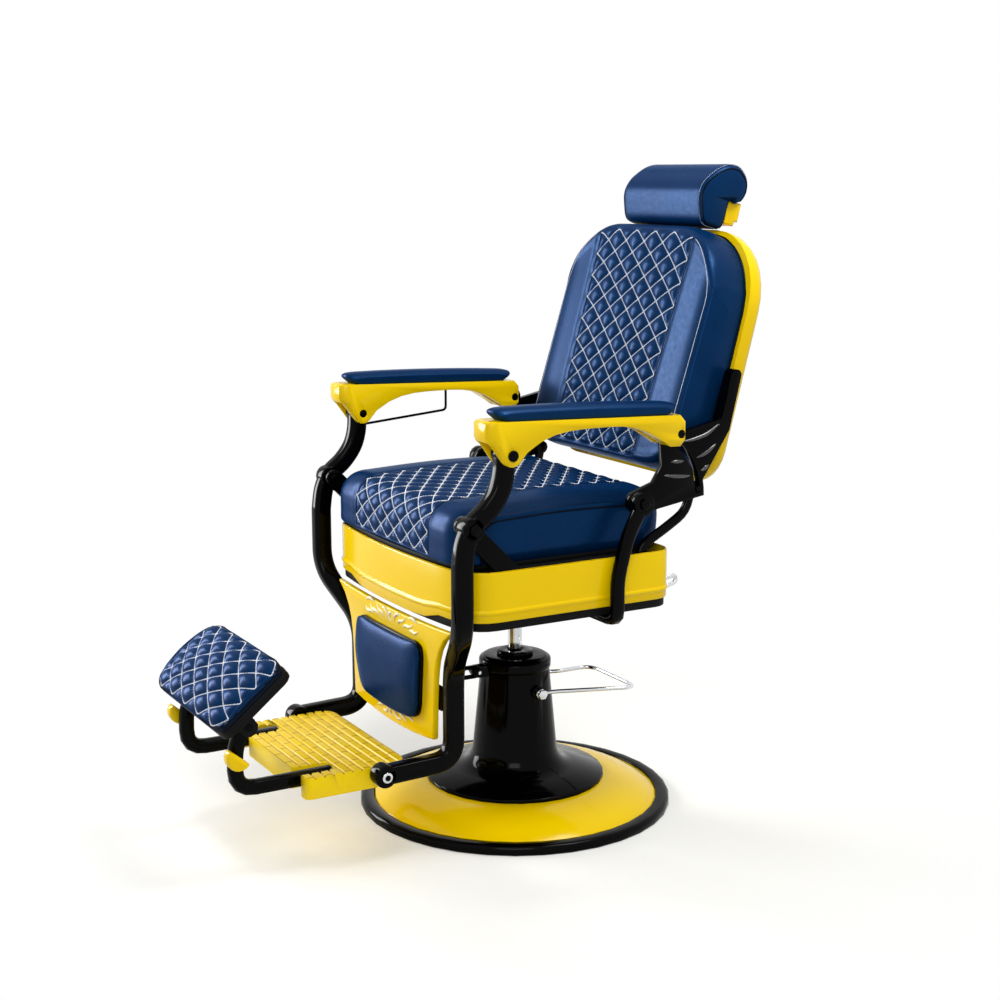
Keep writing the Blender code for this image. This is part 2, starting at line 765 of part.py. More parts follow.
# Pump pedal: a wire loop that straddles the column
pedal_eye_low = PEDAL_BOSS_REACH + SIDE_PLAY
pedal_eye_high = pedal_eye_low + PEDAL_EYE_WIDTH
pedal_eye_x = (pedal_eye_low + pedal_eye_high) / 2
pedal_run = [
    (pedal_eye_x, PEDAL_PIVOT_Y),
    (pedal_eye_x, PEDAL_PIVOT_Y + 3 * PEDAL_HEAD_RADIUS),
    (PEDAL_LEFT, PEDAL_REACH),
    (-PEDAL_RIGHT, PEDAL_REACH),
    (-PEDAL_RIGHT, PEDAL_REACH / 2),
    (-pedal_eye_x, PEDAL_REACH / 4),
    (-pedal_eye_x, PEDAL_PIVOT_Y),
]
pump_pedal = swept(
    "pump_pedal",
    bent([(x, y, PEDAL_HEIGHT) for x, y in pedal_run], 0.030),
    round_section(WIRE_RADIUS),
    "chrome",
    side=(0, 0, 1),
)
pedal_pivots = []
for side, word in ((1, "left"), (-1, "right")):
    eye = cross_rod("eye", pedal_pivot, side * pedal_eye_low, side * pedal_eye_high, PEDAL_EYE_RADIUS)
    fuse(pump_pedal, eye)
    bore_reach = pedal_eye_high + PEDAL_HEAD_THICK
    bore = cross_rod("bore", pedal_pivot, side * boss_root, side * bore_reach, PEDAL_BOLT_RADIUS + PIN_PLAY)
    cut(pump_pedal, bore)
    head_low = pedal_eye_high + SIDE_PLAY / 2
    bolt = cross_rod(
        "pedal_pivot_" + word,
        pedal_pivot,
        side * (PEDAL_BOSS_REACH + TOUCH),
        side * (head_low + PEDAL_HEAD_THICK / 2),
        PEDAL_BOLT_RADIUS,
        "chrome",
    )
    head = cross_rod(
        "head",
        pedal_pivot,
        side * head_low,
        side * (head_low + PEDAL_HEAD_THICK),
        PEDAL_HEAD_RADIUS,
        sides=6,
    )
    fuse(bolt, head)
    pedal_pivots.append(bolt)

# Hydraulic rod, cylinder, gland and swivel bearing
cylinder_low = BASE_PLATE_THICK + TOUCH
cylinder_bore = PISTON_HEAD_RADIUS + PIN_PLAY
cylinder_top = COLUMN_TOP - CYLINDER_HEADROOM
hydraulic_cylinder = turned(
    "hydraulic_cylinder",
    [
        (0, cylinder_low),
        (CYLINDER_FLANGE_RADIUS, cylinder_low),
        (CYLINDER_FLANGE_RADIUS, cylinder_low + CYLINDER_FLANGE_THICK),
        (CYLINDER_RADIUS, cylinder_low + CYLINDER_FLANGE_THICK),
        (CYLINDER_RADIUS, cylinder_top),
        (cylinder_bore, cylinder_top),
        (cylinder_bore, cylinder_low + CYLINDER_FLOOR),
        (0, cylinder_low + CYLINDER_FLOOR),
    ],
    "bare_steel",
    24,
)
gland_low = COLUMN_TOP + TOUCH
rod_gland = turned(
    "rod_gland",
    [
        (ROD_RADIUS + PIN_PLAY, gland_low + GLAND_THICK),
        (GLAND_RADIUS, gland_low + GLAND_THICK),
        (GLAND_RADIUS, gland_low),
        (GLAND_SPIGOT_RADIUS - TOUCH, gland_low),
        (GLAND_SPIGOT_RADIUS - TOUCH, COLUMN_TOP - COLUMN_WALL),
        (ROD_RADIUS + PIN_PLAY, COLUMN_TOP - COLUMN_WALL),
    ],
    "black_enamel",
    24,
)
rod_top = socket_low + SOCKET_BORE_DEPTH - TOUCH
piston_rod = turned(
    "piston_rod",
    [
        (0, ROD_FOOT),
        (PISTON_HEAD_RADIUS, ROD_FOOT),
        (PISTON_HEAD_RADIUS, ROD_FOOT + PISTON_HEAD_HEIGHT),
        (ROD_RADIUS, ROD_FOOT + PISTON_HEAD_HEIGHT),
        (ROD_RADIUS, ROD_SHOULDER_HEIGHT - ROD_SHOULDER_THICK),
        (ROD_SHOULDER_RADIUS, ROD_SHOULDER_HEIGHT - ROD_SHOULDER_THICK),
        (ROD_SHOULDER_RADIUS, ROD_SHOULDER_HEIGHT),
        (ROD_RADIUS, ROD_SHOULDER_HEIGHT),
        (ROD_RADIUS, rod_top),
        (0, rod_top),
    ],
    "chrome",
    24,
)
bearing_low = ROD_SHOULDER_HEIGHT + TOUCH
swivel_bearing = turned(
    "swivel_bearing",
    [
        (ROD_RADIUS + PIN_PLAY, bearing_low),
        (ROD_SHOULDER_RADIUS, bearing_low),
        (ROD_SHOULDER_RADIUS, bearing_low + BEARING_THICK),
        (ROD_RADIUS + PIN_PLAY, bearing_low + BEARING_THICK),
    ],
    "bare_steel",
    24,
)
socket_top = SEAT_UNDERSIDE - TOUCH
seat_socket = turned(
    "seat_socket",
    [
        (0, socket_top),
        (SOCKET_FLANGE_RADIUS, socket_top),
        (SOCKET_FLANGE_RADIUS, socket_top - SOCKET_FLANGE_THICK),
        (SOCKET_RADIUS, socket_top - SOCKET_FLANGE_THICK),
        (SOCKET_RADIUS, seat_foot),
        (ROD_RADIUS + PIN_PLAY, seat_foot),
        (ROD_RADIUS + PIN_PLAY, seat_foot + SOCKET_BORE_DEPTH),
        (0, seat_foot + SOCKET_BORE_DEPTH),
    ],
    "black_enamel",
    24,
)

# Seat frame, apron and board
apron_plan = (apron_half_width, APRON_FRONT, APRON_REAR, APRON_BOW, APRON_FRONT_RADIUS, APRON_REAR_RADIUS)
seat_plate_top = SEAT_UNDERSIDE + SEAT_PLATE_THICK
seat_frame = prism(
    "seat_frame",
    seat_outline(APRON_WALL + TOUCH, *apron_plan),
    "Z",
    SEAT_UNDERSIDE,
    seat_plate_top,
    "black_enamel",
)
for side in (1, -1):
    inner, outer = sorted((side * (rail_face - RAIL_WIDTH), side * rail_face))
    rail = block(
        "rail",
        (inner, RAIL_FRONT, seat_plate_top - SEAT_PLATE_THICK / 2),
        (outer, RAIL_REAR, seat_board_low - TOUCH),
    )
    fuse(seat_frame, rail)


def apron_ring(inset, height, dips):
    """One line round the apron. Its lower edge hangs lower across the middle of the front."""
    ring = []
    for x, y in seat_outline(inset, *apron_plan):
        share = smooth_step((APRON_DIP_HALF_WIDTH - abs(x)) / 0.03 + 0.5) if y < APRON_FRONT + 0.02 else 0.0
        ring.append((x, y, height - dips * APRON_DIP * share))
    return ring


bead_height = apron_low + APRON_BEAD_OFFSET
apron_rings = [
    apron_ring(APRON_WALL, apron_low, 1),
    apron_ring(0.0, apron_low, 1),
    apron_ring(0.0, bead_height - 2 * APRON_BEAD, 0.5),
    apron_ring(-APRON_BEAD, bead_height - APRON_BEAD, 0.5),
    apron_ring(-APRON_BEAD, bead_height + APRON_BEAD, 0.5),
    apron_ring(0.0, bead_height + 2 * APRON_BEAD, 0.5),
    apron_ring(0.0, apron_top - APRON_WALL / 2, 0),
    apron_ring(APRON_WALL / 2, apron_top, 0),
    apron_ring(APRON_WALL, apron_top, 0),
]
seat_apron = ring_solid("seat_apron", apron_rings, "yellow_enamel", closed=True)

board_plan = (SEAT_HALF_WIDTH, APRON_FRONT, SEAT_REAR, APRON_BOW, APRON_FRONT_RADIUS, APRON_FRONT_RADIUS)
seat_board = prism(
    "seat_board",
    seat_outline(0.004, *board_plan),
    "Z",
    seat_board_low,
    seat_board_low + SEAT_BOARD_THICK,
    "black_board",
)

# Seat cushion: quilted over the top and down the rolled front
seat_panel_half_width = SEAT_DIAMOND[0] * SEAT_DIAMONDS_ACROSS / 2
seat_rows_rear = [(SEAT_REAR, 0.0), (SEAT_REAR, 0.5 * SEAT_CUSHION_THICK)]
seat_rows_rear += [(SEAT_REAR - 0.006, 0.76 * SEAT_CUSHION_THICK)]


def seat_profile():
    """Side view of the cushion from its rear foot over the crown and round the front roll, as (y, height)."""
    rear_y, front_y = SEAT_REAR - 0.030, SEAT_FRONT + SEAT_FRONT_ROLL
    flat = rear_y - front_y
    quarter = SEAT_FRONT_ROLL * math.pi / 2
    drop = SEAT_CUSHION_THICK - SEAT_FRONT_ROLL - 0.012
    steps = round((flat + quarter + drop) / (SEAT_DIAMOND[1] / 2))
    rows = list(seat_rows_rear)
    for i in range(steps + 1):
        along = (flat + quarter + drop) * i / steps
        if along <= flat:
            crown = 0.006 * math.sin(math.pi * along / flat)
            rows.append((rear_y - along, SEAT_CUSHION_THICK - 0.006 + crown))
        elif along <= flat + quarter:
            turn = (along - flat) / SEAT_FRONT_ROLL
            height = SEAT_CUSHION_THICK - 0.006 - SEAT_FRONT_ROLL * (1 - math.cos(turn))
            rows.append((front_y - SEAT_FRONT_ROLL * math.sin(turn), height))
        else:
            height = SEAT_CUSHION_THICK - 0.006 - SEAT_FRONT_ROLL - (along - flat - quarter)
            rows.append((SEAT_FRONT, height))
    rows.append((SEAT_FRONT, 0.0))
    return rows


def seat_ends(x):
    back = rounded_end(x, SEAT_HALF_WIDTH, SEAT_CUSHION_CORNER)
    return (SEAT_REAR - back, SEAT_FRONT + back)


def seat_place(x, y, height):
    return (x, y, seat_cushion_low + height)


seat_rows = seat_profile()
seat_panel_steps = round(2 * SEAT_DIAMONDS_ACROSS)
seat_columns = pad_columns(SEAT_HALF_WIDTH, seat_panel_half_width, seat_panel_steps, SEAT_SIDE_ROLL, 0.24)
seat_first_column = 5
seat_cushion = pad(
    "seat_cushion",
    seat_columns,
    [(y, h) for y, h in seat_rows],
    seat_ends,
    seat_place,
    "navy_leather",
    panel=(seat_first_column, len(seat_columns) - 1 - seat_first_column, 3, len(seat_rows) - 2),
)


# Side pieces of the seat and the leg rest, made for each side
def leg_path(sign):
    points = [
        (arm_middle, *LUG_PIVOT),
        (arm_middle, LUG_PIVOT[0] - POST_NECK[0], LUG_PIVOT[1] - POST_NECK[1]),
        (arm_middle, *knuckle_pivot),
        (arm_middle, LEG_UPPER_Y, knuckle_pivot[1] - 2 * KNUCKLE_RADIUS),
        (arm_middle, LEG_UPPER_Y, LEG_KINK_TOP),
        (leg_x, LEG_Y, LEG_KINK_LOW),
        (leg_x, LEG_Y, PLATFORM_PIVOT[1] + 0.004),
        (leg_x, *PLATFORM_PIVOT),
    ]
    return bent(mirrored(points, sign), LEG_BEND, 2)


def make_leg_frame(sign, word):
    section = bar_section(FRONT_POST_WIDTH - 2 * TOUCH, FRONT_POST_DEPTH, FRONT_POST_ROUND, 1)
    frame = swept("leg_frame_" + word, leg_path(sign), section, "black_enamel", level=True)
    low, high = sign * front_post_span[0], sign * front_post_span[1]
    leg_low, leg_high = sign * (leg_x - FRONT_POST_WIDTH / 2), sign * (leg_x + FRONT_POST_WIDTH / 2)
    fuse(
        frame,
        cross_rod("lug_eye", LUG_PIVOT, low, high, LUG_EYE_RADIUS),
        cross_rod("knuckle", knuckle_pivot, low, high, KNUCKLE_RADIUS, sides=16),
        cross_rod("platform_eye", PLATFORM_PIVOT, leg_low, leg_high, PLATFORM_EYE_RADIUS),
    )
    cut(
        frame,
        cross_rod("bore", LUG_PIVOT, sign * rail_face, sign * 0.4, PIN_RADIUS + PIN_PLAY),
        cross_rod("bore", knuckle_pivot, sign * rail_face, sign * 0.4, PIN_RADIUS + PIN_PLAY),
        cross_rod("bore", PLATFORM_PIVOT, sign * 0.1, sign * 0.4, PLATFORM_BOLT_RADIUS + PIN_PLAY),
    )
    return frame


def make_pin(name, pivot, start, shoulder, sign, look, radius=PIN_RADIUS, head=PIN_HEAD_RADIUS):
    """A pin along X with a round head past its shoulder."""
    pin = cross_rod(name, pivot, sign * start, sign * (shoulder + PIN_HEAD_THICK / 2), radius, look)
    fuse(pin, cross_rod("head", pivot, sign * shoulder, sign * (shoulder + PIN_HEAD_THICK), head))
    return pin


def make_hanger(sign, word):
    """The plate on the seat that carries the front knuckle."""
    low, high = sign * hanger_span[0], sign * hanger_span[1]
    upper = link_outline(knuckle_pivot, KNUCKLE_RADIUS - 0.006, HANGER_BEND, HANGER_FOOT_RADIUS)
    lower = link_outline(HANGER_BEND, HANGER_FOOT_RADIUS, HANGER_FOOT, HANGER_FOOT_RADIUS)
    hanger = prism("front_hanger_" + word, upper, "X", low, high, "black_enamel")
    fuse(hanger, prism("foot", lower, "X", low, high))
    cut(hanger, cross_rod("bore", knuckle_pivot, sign * 0.2, sign * 0.4, PIN_RADIUS + PIN_PLAY))
    return hanger


def make_rear_post(sign, word):
    """The outer post that carries the back pivot, bent inwards under the seat."""
    middle = sum(rear_post_span) / 2
    level = SEAT_UNDERSIDE - TOUCH - REAR_POST_WIDTH / 2
    points = [
        (middle, *BACK_PIVOT),
        (middle, BACK_PIVOT[0] - REAR_POST_NECK[0], BACK_PIVOT[1] - REAR_POST_NECK[1]),
        (middle, BACK_PIVOT[0] - REAR_POST_KNEE[0], BACK_PIVOT[1] - REAR_POST_KNEE[1]),
        (middle, BACK_PIVOT[0] - REAR_POST_KNEE[0], level),
        (REAR_POST_INNER_END, BACK_PIVOT[0] - REAR_POST_KNEE[0], level),
    ]
    section = bar_section(REAR_POST_WIDTH, REAR_POST_DEPTH, REAR_POST_WIDTH / 3)
    path = bent(mirrored(points, sign), REAR_POST_BEND, 3)
    post = swept("rear_post_" + word, path, section, "black_enamel")
    low, high = sign * rear_post_span[0], sign * rear_post_span[1]
    fuse(post, cross_rod("knuckle", BACK_PIVOT, low, high, BACK_EYE_RADIUS, sides=16))
    cut(post, cross_rod("bore", BACK_PIVOT, sign * 0.2, sign * 0.4, PIN_RADIUS + PIN_PLAY))
    return post


def make_rear_stay(sign, word):
    """The curved arm that holds the recline lock pin in the quadrant's slot."""
    middle = sum(stay_span) / 2
    points = [
        (middle, *lock_pin),
        (middle, lock_pin[0] - STAY_NECK[0], lock_pin[1] - STAY_NECK[1]),
        (middle, lock_pin[0] - STAY_ELBOW[0], lock_pin[1] - STAY_ELBOW[1]),
        (middle, STAY_FOOT[0], STAY_FOOT[1] + STAY_FOOT_HEIGHT),
        (middle, *STAY_FOOT),
    ]
    section = bar_section(STAY_THICK, STAY_WIDTH, 0.003, 1)
    stay = swept("rear_stay_" + word, bent(mirrored(points, sign), 0.030), section, "black_enamel")
    fuse(
        stay,
        cross_rod("boss", lock_pin, sign * stay_span[0], sign * stay_span[1], STAY_WIDTH * 0.75),
        cross_rod("pin", lock_pin, sign * middle, sign * (bracket_span[1] + SIDE_PLAY), QUADRANT_PIN_RADIUS),
    )
    return stay


# The back's own frame: slope up and forwards
tilt = math.radians(BACK_TILT)
back_up = Vector((0, math.sin(tilt), math.cos(tilt)))
back_out = Vector((0, -math.cos(tilt), math.sin(tilt)))
back_origin = Vector((0, *BACK_FOOT))


def back_place(x, up, out):
    return back_origin + Vector((x, 0, 0)) + back_up * up + back_out * out


def back_pivot_of(up, out):
    """(Y, Z) of a place on the back."""
    return tuple(back_place(0, up, out))[1:]


def make_back_bracket(sign, word):
    """The side plate of the back: pivot eye, armrest eye, quadrant and the arm along the shell's side."""
    rim = QUADRANT_RADIUS + QUADRANT_RIM
    arm_low = back_pivot_of(BACK_ARM_LOW, BACK_ARM_OUT)
    arm_high = back_pivot_of(BACK_ARM_BOLT, BACK_ARM_OUT)
    arm_rear, arm_front = BACK_ARM_OUT - BACK_ARM_WIDTH / 2, BACK_ARM_OUT + BACK_ARM_WIDTH / 2
    outline = arc(BACK_PIVOT, BACK_EYE_RADIUS, 120, 280, 7)
    outline += arc(BACK_PIVOT, rim, QUADRANT_START - 6, QUADRANT_START + 6, 2)
    outline += [back_pivot_of(BACK_ARM_LOW, arm_rear)]
    outline += [back_pivot_of(BACK_PLATE_TOP, arm_front)]
    outline += arc(rear_arm_pivot, LUG_EYE_RADIUS, -15, 195, 8)
    outline += [(rear_arm_pivot[0] - LUG_EYE_RADIUS * 0.7, rear_arm_pivot[1] - LINK_RISE / 2)]
    outline += [(BACK_PIVOT[0] + LINK_RUN / 2, BACK_PIVOT[1] + BACK_EYE_RADIUS * 1.5)]
    low, high = sign * bracket_span[0], sign * bracket_span[1]
    bracket = prism("back_bracket_" + word, outline, "X", low, high, "black_enamel")
    arm = prism(
        "arm",
        link_outline(arm_low, BACK_ARM_WIDTH / 2, arm_high, BACK_ARM_WIDTH / 2 - 0.002),
        "X",
        sign * (shell_half_width + TOUCH),
        high,
    )
    stub_reach = (arm_span[0] + TOUCH, arm_span[1] - TOUCH)
    stub = cross_rod("stub", rear_arm_pivot, sign * stub_reach[0], sign * stub_reach[1], PIN_RADIUS)
    fuse(bracket, arm, stub)
    slot_half = QUADRANT_PIN_RADIUS + PIN_PLAY
    slot_start, slot_end = QUADRANT_START - 3, QUADRANT_START + QUADRANT_SWEEP + 3
    slot = arc(BACK_PIVOT, QUADRANT_RADIUS + slot_half, slot_start, slot_end, 10)
    slot += arc(BACK_PIVOT, QUADRANT_RADIUS - slot_half, slot_end, slot_start, 10)
    cut(
        bracket,
        prism("slot", slot, "X", sign * 0.2, sign * 0.4),
        cross_rod("bore", BACK_PIVOT, sign * 0.2, sign * 0.4, PIN_RADIUS + PIN_PLAY),
    )
    return bracket


# Armrests
def arm_top(y):
    along = (y - ARM_FRONT) / (ARM_REAR - ARM_FRONT)
    return LUG_PIVOT[1] + ARM_TOP_FRONT + (ARM_TOP_REAR - ARM_TOP_FRONT) * along


def arm_outline():
    """Side view of the armrest casting: top edge, rear foot, arch and front lug."""
    rear_low = rear_arm_pivot[1] - LUG_EYE_RADIUS - 0.003
    arch_front, arch_rear = LUG_PIVOT[0] + 0.030, rear_arm_pivot[0] - 0.045
    outline = [(ARM_FRONT + 0.004, arm_top(ARM_FRONT + 0.004)), (ARM_REAR - 0.012, arm_top(ARM_REAR - 0.012))]
    outline += [(ARM_REAR, arm_top(ARM_REAR) - 0.012), (ARM_REAR, rear_low + 0.010)]
    outline += [(ARM_REAR - 0.010, rear_low)]
    outline += [(rear_arm_pivot[0] - 0.022, rear_low + 0.001)]
    steps = 10
    for i in range(steps + 1):
        along = i / steps
        rise = (1 - abs(2 * along - 1) ** 3.2) * (ARM_ARCH_HEIGHT - 0.004)
        outline.append((arch_rear + (arch_front - arch_rear) * along, LUG_PIVOT[1] + 0.004 + rise))
    outline += arc(LUG_PIVOT, LUG_EYE_RADIUS + 0.001, 330, 215, 6)
    outline += [(ARM_FRONT + 0.012, LUG_PIVOT[1] + 0.018), (ARM_FRONT + 0.004, LUG_PIVOT[1] + 0.024)]
    outline += [(ARM_FRONT, LUG_PIVOT[1] + 0.032), (ARM_FRONT, arm_top(ARM_FRONT) - 0.004)]
    return outline


def arm_ring(x):
    """The armrest's side view at x, drawn in where its nose and heel are round in plan."""
    half_width = ARM_WIDTH / 2
    nose = rounded_end(x, half_width, ARM_NOSE_RADIUS)
    heel = rounded_end(x, half_width, ARM_HEEL_RADIUS)
    ring = []
    for y, z in arm_outline():
        front_share = max(0.0, 1 - (y - ARM_FRONT) / ARM_NOSE_REACH)
        rear_share = max(0.0, 1 - (ARM_REAR - y) / ARM_NOSE_REACH)
        ring.append((y + nose * front_share - heel * rear_share, z))
    return ring


def make_armrest(sign, word):
    places = [ARM_WIDTH * (share - 0.5) for share in (0.0, 0.05, 0.16, 0.84, 0.95, 1.0)]
    rings = [[(sign * (arm_middle + x), *point) for point in arm_ring(x)] for x in places]
    armrest = ring_solid("armrest_" + word, rings, "yellow_enamel")
    front_slot = (front_post_span[0] - SIDE_PLAY, front_post_span[1] + SIDE_PLAY)
    rear_slot = (bracket_span[0] - SIDE_PLAY, bracket_span[1] + SIDE_PLAY)
    slot_top = LUG_PIVOT[1] + LUG_EYE_RADIUS + 0.004
    arm_below = LUG_PIVOT[1] - 3 * LUG_EYE_RADIUS
    front_cut = [
        (ARM_FRONT - 0.05, slot_top),
        (ARM_FRONT - 0.05, arm_below),
        (LUG_PIVOT[0] + 0.060, arm_below),
        (LUG_PIVOT[0] + 0.060, slot_top),
    ]
    rear_top = rear_arm_pivot[1] + LUG_EYE_RADIUS + 0.004
    rear_cut = [
        (rear_arm_pivot[0] - 0.070, rear_top),
        (rear_arm_pivot[0] - 0.070, arm_below),
        (ARM_REAR + 0.05, arm_below),
        (ARM_REAR + 0.05, rear_top),
    ]
    cut(
        armrest,
        prism("slot", front_cut, "X", sign * front_slot[0], sign * front_slot[1]),
        prism("slot", rear_cut, "X", sign * rear_slot[0], sign * rear_slot[1]),
        cross_rod("bore", LUG_PIVOT, sign * 0.2, sign * 0.4, PIN_RADIUS + PIN_PLAY),
        cross_rod("bore", rear_arm_pivot, sign * 0.2, sign * 0.4, PIN_RADIUS + PIN_PLAY),
    )
    return armrest


def make_arm_pad(sign, word):
    half_width = ARM_WIDTH / 2 - ARM_PAD_INSET
    front, rear = ARM_FRONT + 0.024, ARM_REAR - 0.016

    def ends(x):
        back = rounded_end(x, half_width, half_width * 0.8)
        return (front + back, rear - back)

    def place(x, y, height):
        return (sign * arm_middle + x, y, arm_top(y) + TOUCH + height)

    rows = [(front, 0.0), (front, 0.45 * ARM_PAD_CROWN)]
    steps = 8
    for i in range(steps + 1):
        along = i / steps
        swell = 0.72 + 0.28 * math.sin(math.pi * along) ** 0.6
        rows.append((front + 0.012 + (rear - front - 0.024) * along, ARM_PAD_CROWN * swell))
    rows += [(rear, 0.45 * ARM_PAD_CROWN), (rear, 0.0)]
    columns = pad_columns(half_width, half_width * 0.45, 2, half_width * 0.7, 0.5, 3)
    return pad("arm_pad_" + word, columns, rows, ends, place, "navy_leather", tuck=0.002)


sides = {}
for sign, word in ((1, "left"), (-1, "right")):
    pieces = {
        "leg_frame": make_leg_frame(sign, word),
        "front_hanger": make_hanger(sign, word),
        "rear_post": make_rear_post(sign, word),
        "rear_stay": make_rear_stay(sign, word),
        "back_bracket": make_back_bracket(sign, word),
        "armrest": make_armrest(sign, word),
        "arm_pad": make_arm_pad(sign, word),
        "knuckle_pin": make_pin(
            "knuckle_pin_" + word,
            knuckle_pivot,
            hanger_span[0],
            front_post_span[1] + TOUCH,
            sign,
            "black_enamel",
        ),
        "back_pivot_pin": make_pin(
            "back_pivot_pin_" + word,
            BACK_PIVOT,
            bracket_span[0],
            rear_post_span[1] + TOUCH,
            sign,
            "black_enamel",
        ),
        "lug_bolt": make_pin(
            "lug_bolt_" + word, LUG_PIVOT, arm_span[0], arm_span[1] + TOUCH, sign, "black_enamel"
        ),
        "platform_bolt": make_pin(
            "platform_bolt_" + word,
            PLATFORM_PIVOT,
            platform_half_width - PLATFORM_BOLT_DEPTH + TOUCH,
            leg_x + FRONT_POST_WIDTH / 2 + TOUCH,
            sign,
            "chrome",
            PLATFORM_BOLT_RADIUS,
        ),
    }
    sides[word] = pieces

# Towel bar on the outer side of the right armrest
towel_face = -(arm_span[1] + TOUCH)
towel_x = towel_face - TOWEL_STANDOFF
towel_rear, towel_front = 0.030, -0.160
towel_high = LUG_PIVOT[1] + ARM_ARCH_HEIGHT + 0.008
towel_low = towel_high - TOWEL_DROP
towel_run = [
    (towel_face, towel_rear, towel_high),
    (towel_x, towel_rear, towel_high),
    (towel_x, towel_rear, towel_low),
    (towel_x, towel_front - 0.015, towel_low - 0.018),
    (towel_x, towel_front, towel_high - 0.010),
    (towel_face, towel_front, towel_high - 0.010),
]
towel_bar = swept(
    "towel_bar",
    bent(towel_run, 0.008, 3),
    round_section(TOWEL_WIRE_RADIUS),
    "black_enamel",
    side=(0, 1, 0),
)

# Back shell and cushion
shell_top = BACK_TOP + SHELL_MARGIN


def shell_outline(inset):
    """The shell's outline on the back's face as (x, up), with broad upper and smaller lower corners."""
    half, top, low = shell_half_width - inset, shell_top - inset, inset
    high_round, low_round = BACK_TOP_RADIUS - inset, BACK_LOW_RADIUS - inset
    outline = arc((half - high_round, top - high_round), high_round, 0, 90, 8)
    outline += arc((high_round - half, top - high_round), high_round, 90, 180, 8)
    outline += arc((low_round - half, low + low_round), low_round, 180, 270, 6)
    outline += arc((half - low_round, low + low_round), low_round, 270, 360, 6)
    return outline


shell_levels = ((0.0, 0.0), (0.0, 0.55), (0.004, 0.80), (0.012, 0.95), (0.024, 1.0))
shell_rings = [
    [back_place(x, up, -SHELL_THICK * depth) for x, up in shell_outline(inset)]
    for inset, depth in shell_levels
]
back_shell = ring_solid("back_shell", shell_rings, "yellow_enamel")


def back_box(name, half_width, low, high, middle_out, thick, look=None):
    """A flat bar lying along the back."""
    half = thick / 2
    ring = [(-half_width, -half), (half_width, -half), (half_width, half), (-half_width, half)]
    rings = [[back_place(x, up, middle_out + out) for x, out in ring] for up in (low, high)]
    return ring_solid(name, rings, look)


bar_out = -HEADREST_BAR_DEPTH
guide_low = shell_top + TOUCH
flange_low = guide_low + HEADREST_GUIDE_THICK + HEADREST_GAP
bar_top = flange_low - TOUCH
bar_low = bar_top - HEADREST_BAR_LENGTH
slot_half_width = HEADREST_BAR_WIDTH / 2 + PIN_PLAY
slot_thick = HEADREST_BAR_THICK + 2 * PIN_PLAY
cut(
    back_shell,
    back_box("slot", slot_half_width, bar_low - 0.010, shell_top + 0.05, bar_out, slot_thick),
)
headrest_bar = back_box(
    "headrest_bar", HEADREST_BAR_WIDTH / 2, bar_low, bar_top, bar_out, HEADREST_BAR_THICK, "chrome"
)
headrest_guide = back_box(
    "headrest_guide",
    HEADREST_BAR_WIDTH / 2 + 0.010,
    guide_low,
    guide_low + HEADREST_GUIDE_THICK,
    bar_out,
    HEADREST_BAR_THICK + 0.014,
    "black_enamel",
)
cut(
    headrest_guide,
    back_box("slot", slot_half_width, guide_low - 0.02, guide_low + 0.05, bar_out, slot_thick),
)

back_corner_low = BACK_LOW_RADIUS - SHELL_MARGIN


def back_ends(x):
    low = rounded_end(x, back_half_width, back_corner_low)
    high = rounded_end(x, back_half_width, BACK_TOP_RADIUS)
    return (SHELL_MARGIN + low, BACK_TOP - high)


def back_depth(up):
    """Thickness of the cushion, fuller at the small of the back."""
    share = min(max((up - 0.05) / (BACK_TOP - 0.10), 0.0), 1.0)
    return BACK_THICK_LOW + (BACK_THICK_TOP - BACK_THICK_LOW) * share


def back_profile():
    low, high = SHELL_MARGIN, BACK_TOP
    edge = SHELL_MARGIN * 2
    steps = round((high - low - 2 * edge) / (BACK_DIAMOND[1] / 2))
    rows = [(low, 0.0), (low - 0.001, 0.45 * BACK_THICK_LOW), (low + 0.003, 0.84 * BACK_THICK_LOW)]
    for i in range(steps + 1):
        up = low + edge + (high - low - 2 * edge) * i / steps
        rows.append((up, back_depth(up)))
    return rows + [(high - 0.003, 0.84 * BACK_THICK_TOP), (high, 0.45 * BACK_THICK_TOP), (high, 0.0)]


def back_cushion_place(x, up, out):
    """A place on the cushion. Its panel is narrower towards the foot."""
    drawn_in = BACK_PANEL_TAPER * (1 - up / BACK_TOP) * (1 - (x / back_half_width) ** 2)
    return back_place(x * (1 - drawn_in), up, TOUCH + out)


back_rows = back_profile()
back_panel_half_width = BACK_DIAMOND[0] * BACK_DIAMONDS_ACROSS / 2
back_panel_steps = 2 * BACK_DIAMONDS_ACROSS
back_columns = pad_columns(back_half_width, back_panel_half_width, back_panel_steps, BACK_SIDE_ROLL, 0.10, 4)
back_cushion = pad(
    "back_cushion",
    back_columns,
    back_rows,
    back_ends,
    back_cushion_place,
    "navy_leather",
    panel=(5, len(back_columns) - 6, 3, len(back_rows) - 4),
)

# Headrest: a plate with a flange on the bar, and a rolled cushion in front of it
plate_low_out = bar_out - HEADREST_BAR_THICK / 2 - HEADREST_PLATE_SETBACK
plate_high_out = plate_low_out + HEADREST_PLATE_THICK
plate_top = flange_low + HEADREST_PLATE_HEIGHT
flange_top = flange_low + HEADREST_FLANGE_THICK
flange_rear = bar_out - HEADREST_BAR_THICK
plate_outline = [
    (flange_low, plate_high_out),
    (plate_top, plate_high_out),
    (plate_top, plate_low_out),
    (flange_top, plate_low_out),
    (flange_top, flange_rear),
    (flange_low, flange_rear),
]
headrest_bracket = ring_solid(
    "headrest_bracket",
    [
        [back_place(x, up, out) for up, out in plate_outline]
        for x in (-HEADREST_PLATE_HALF_WIDTH, HEADREST_PLATE_HALF_WIDTH)
    ],
    "yellow_enamel",
)
soften(headrest_bracket, 0.002)

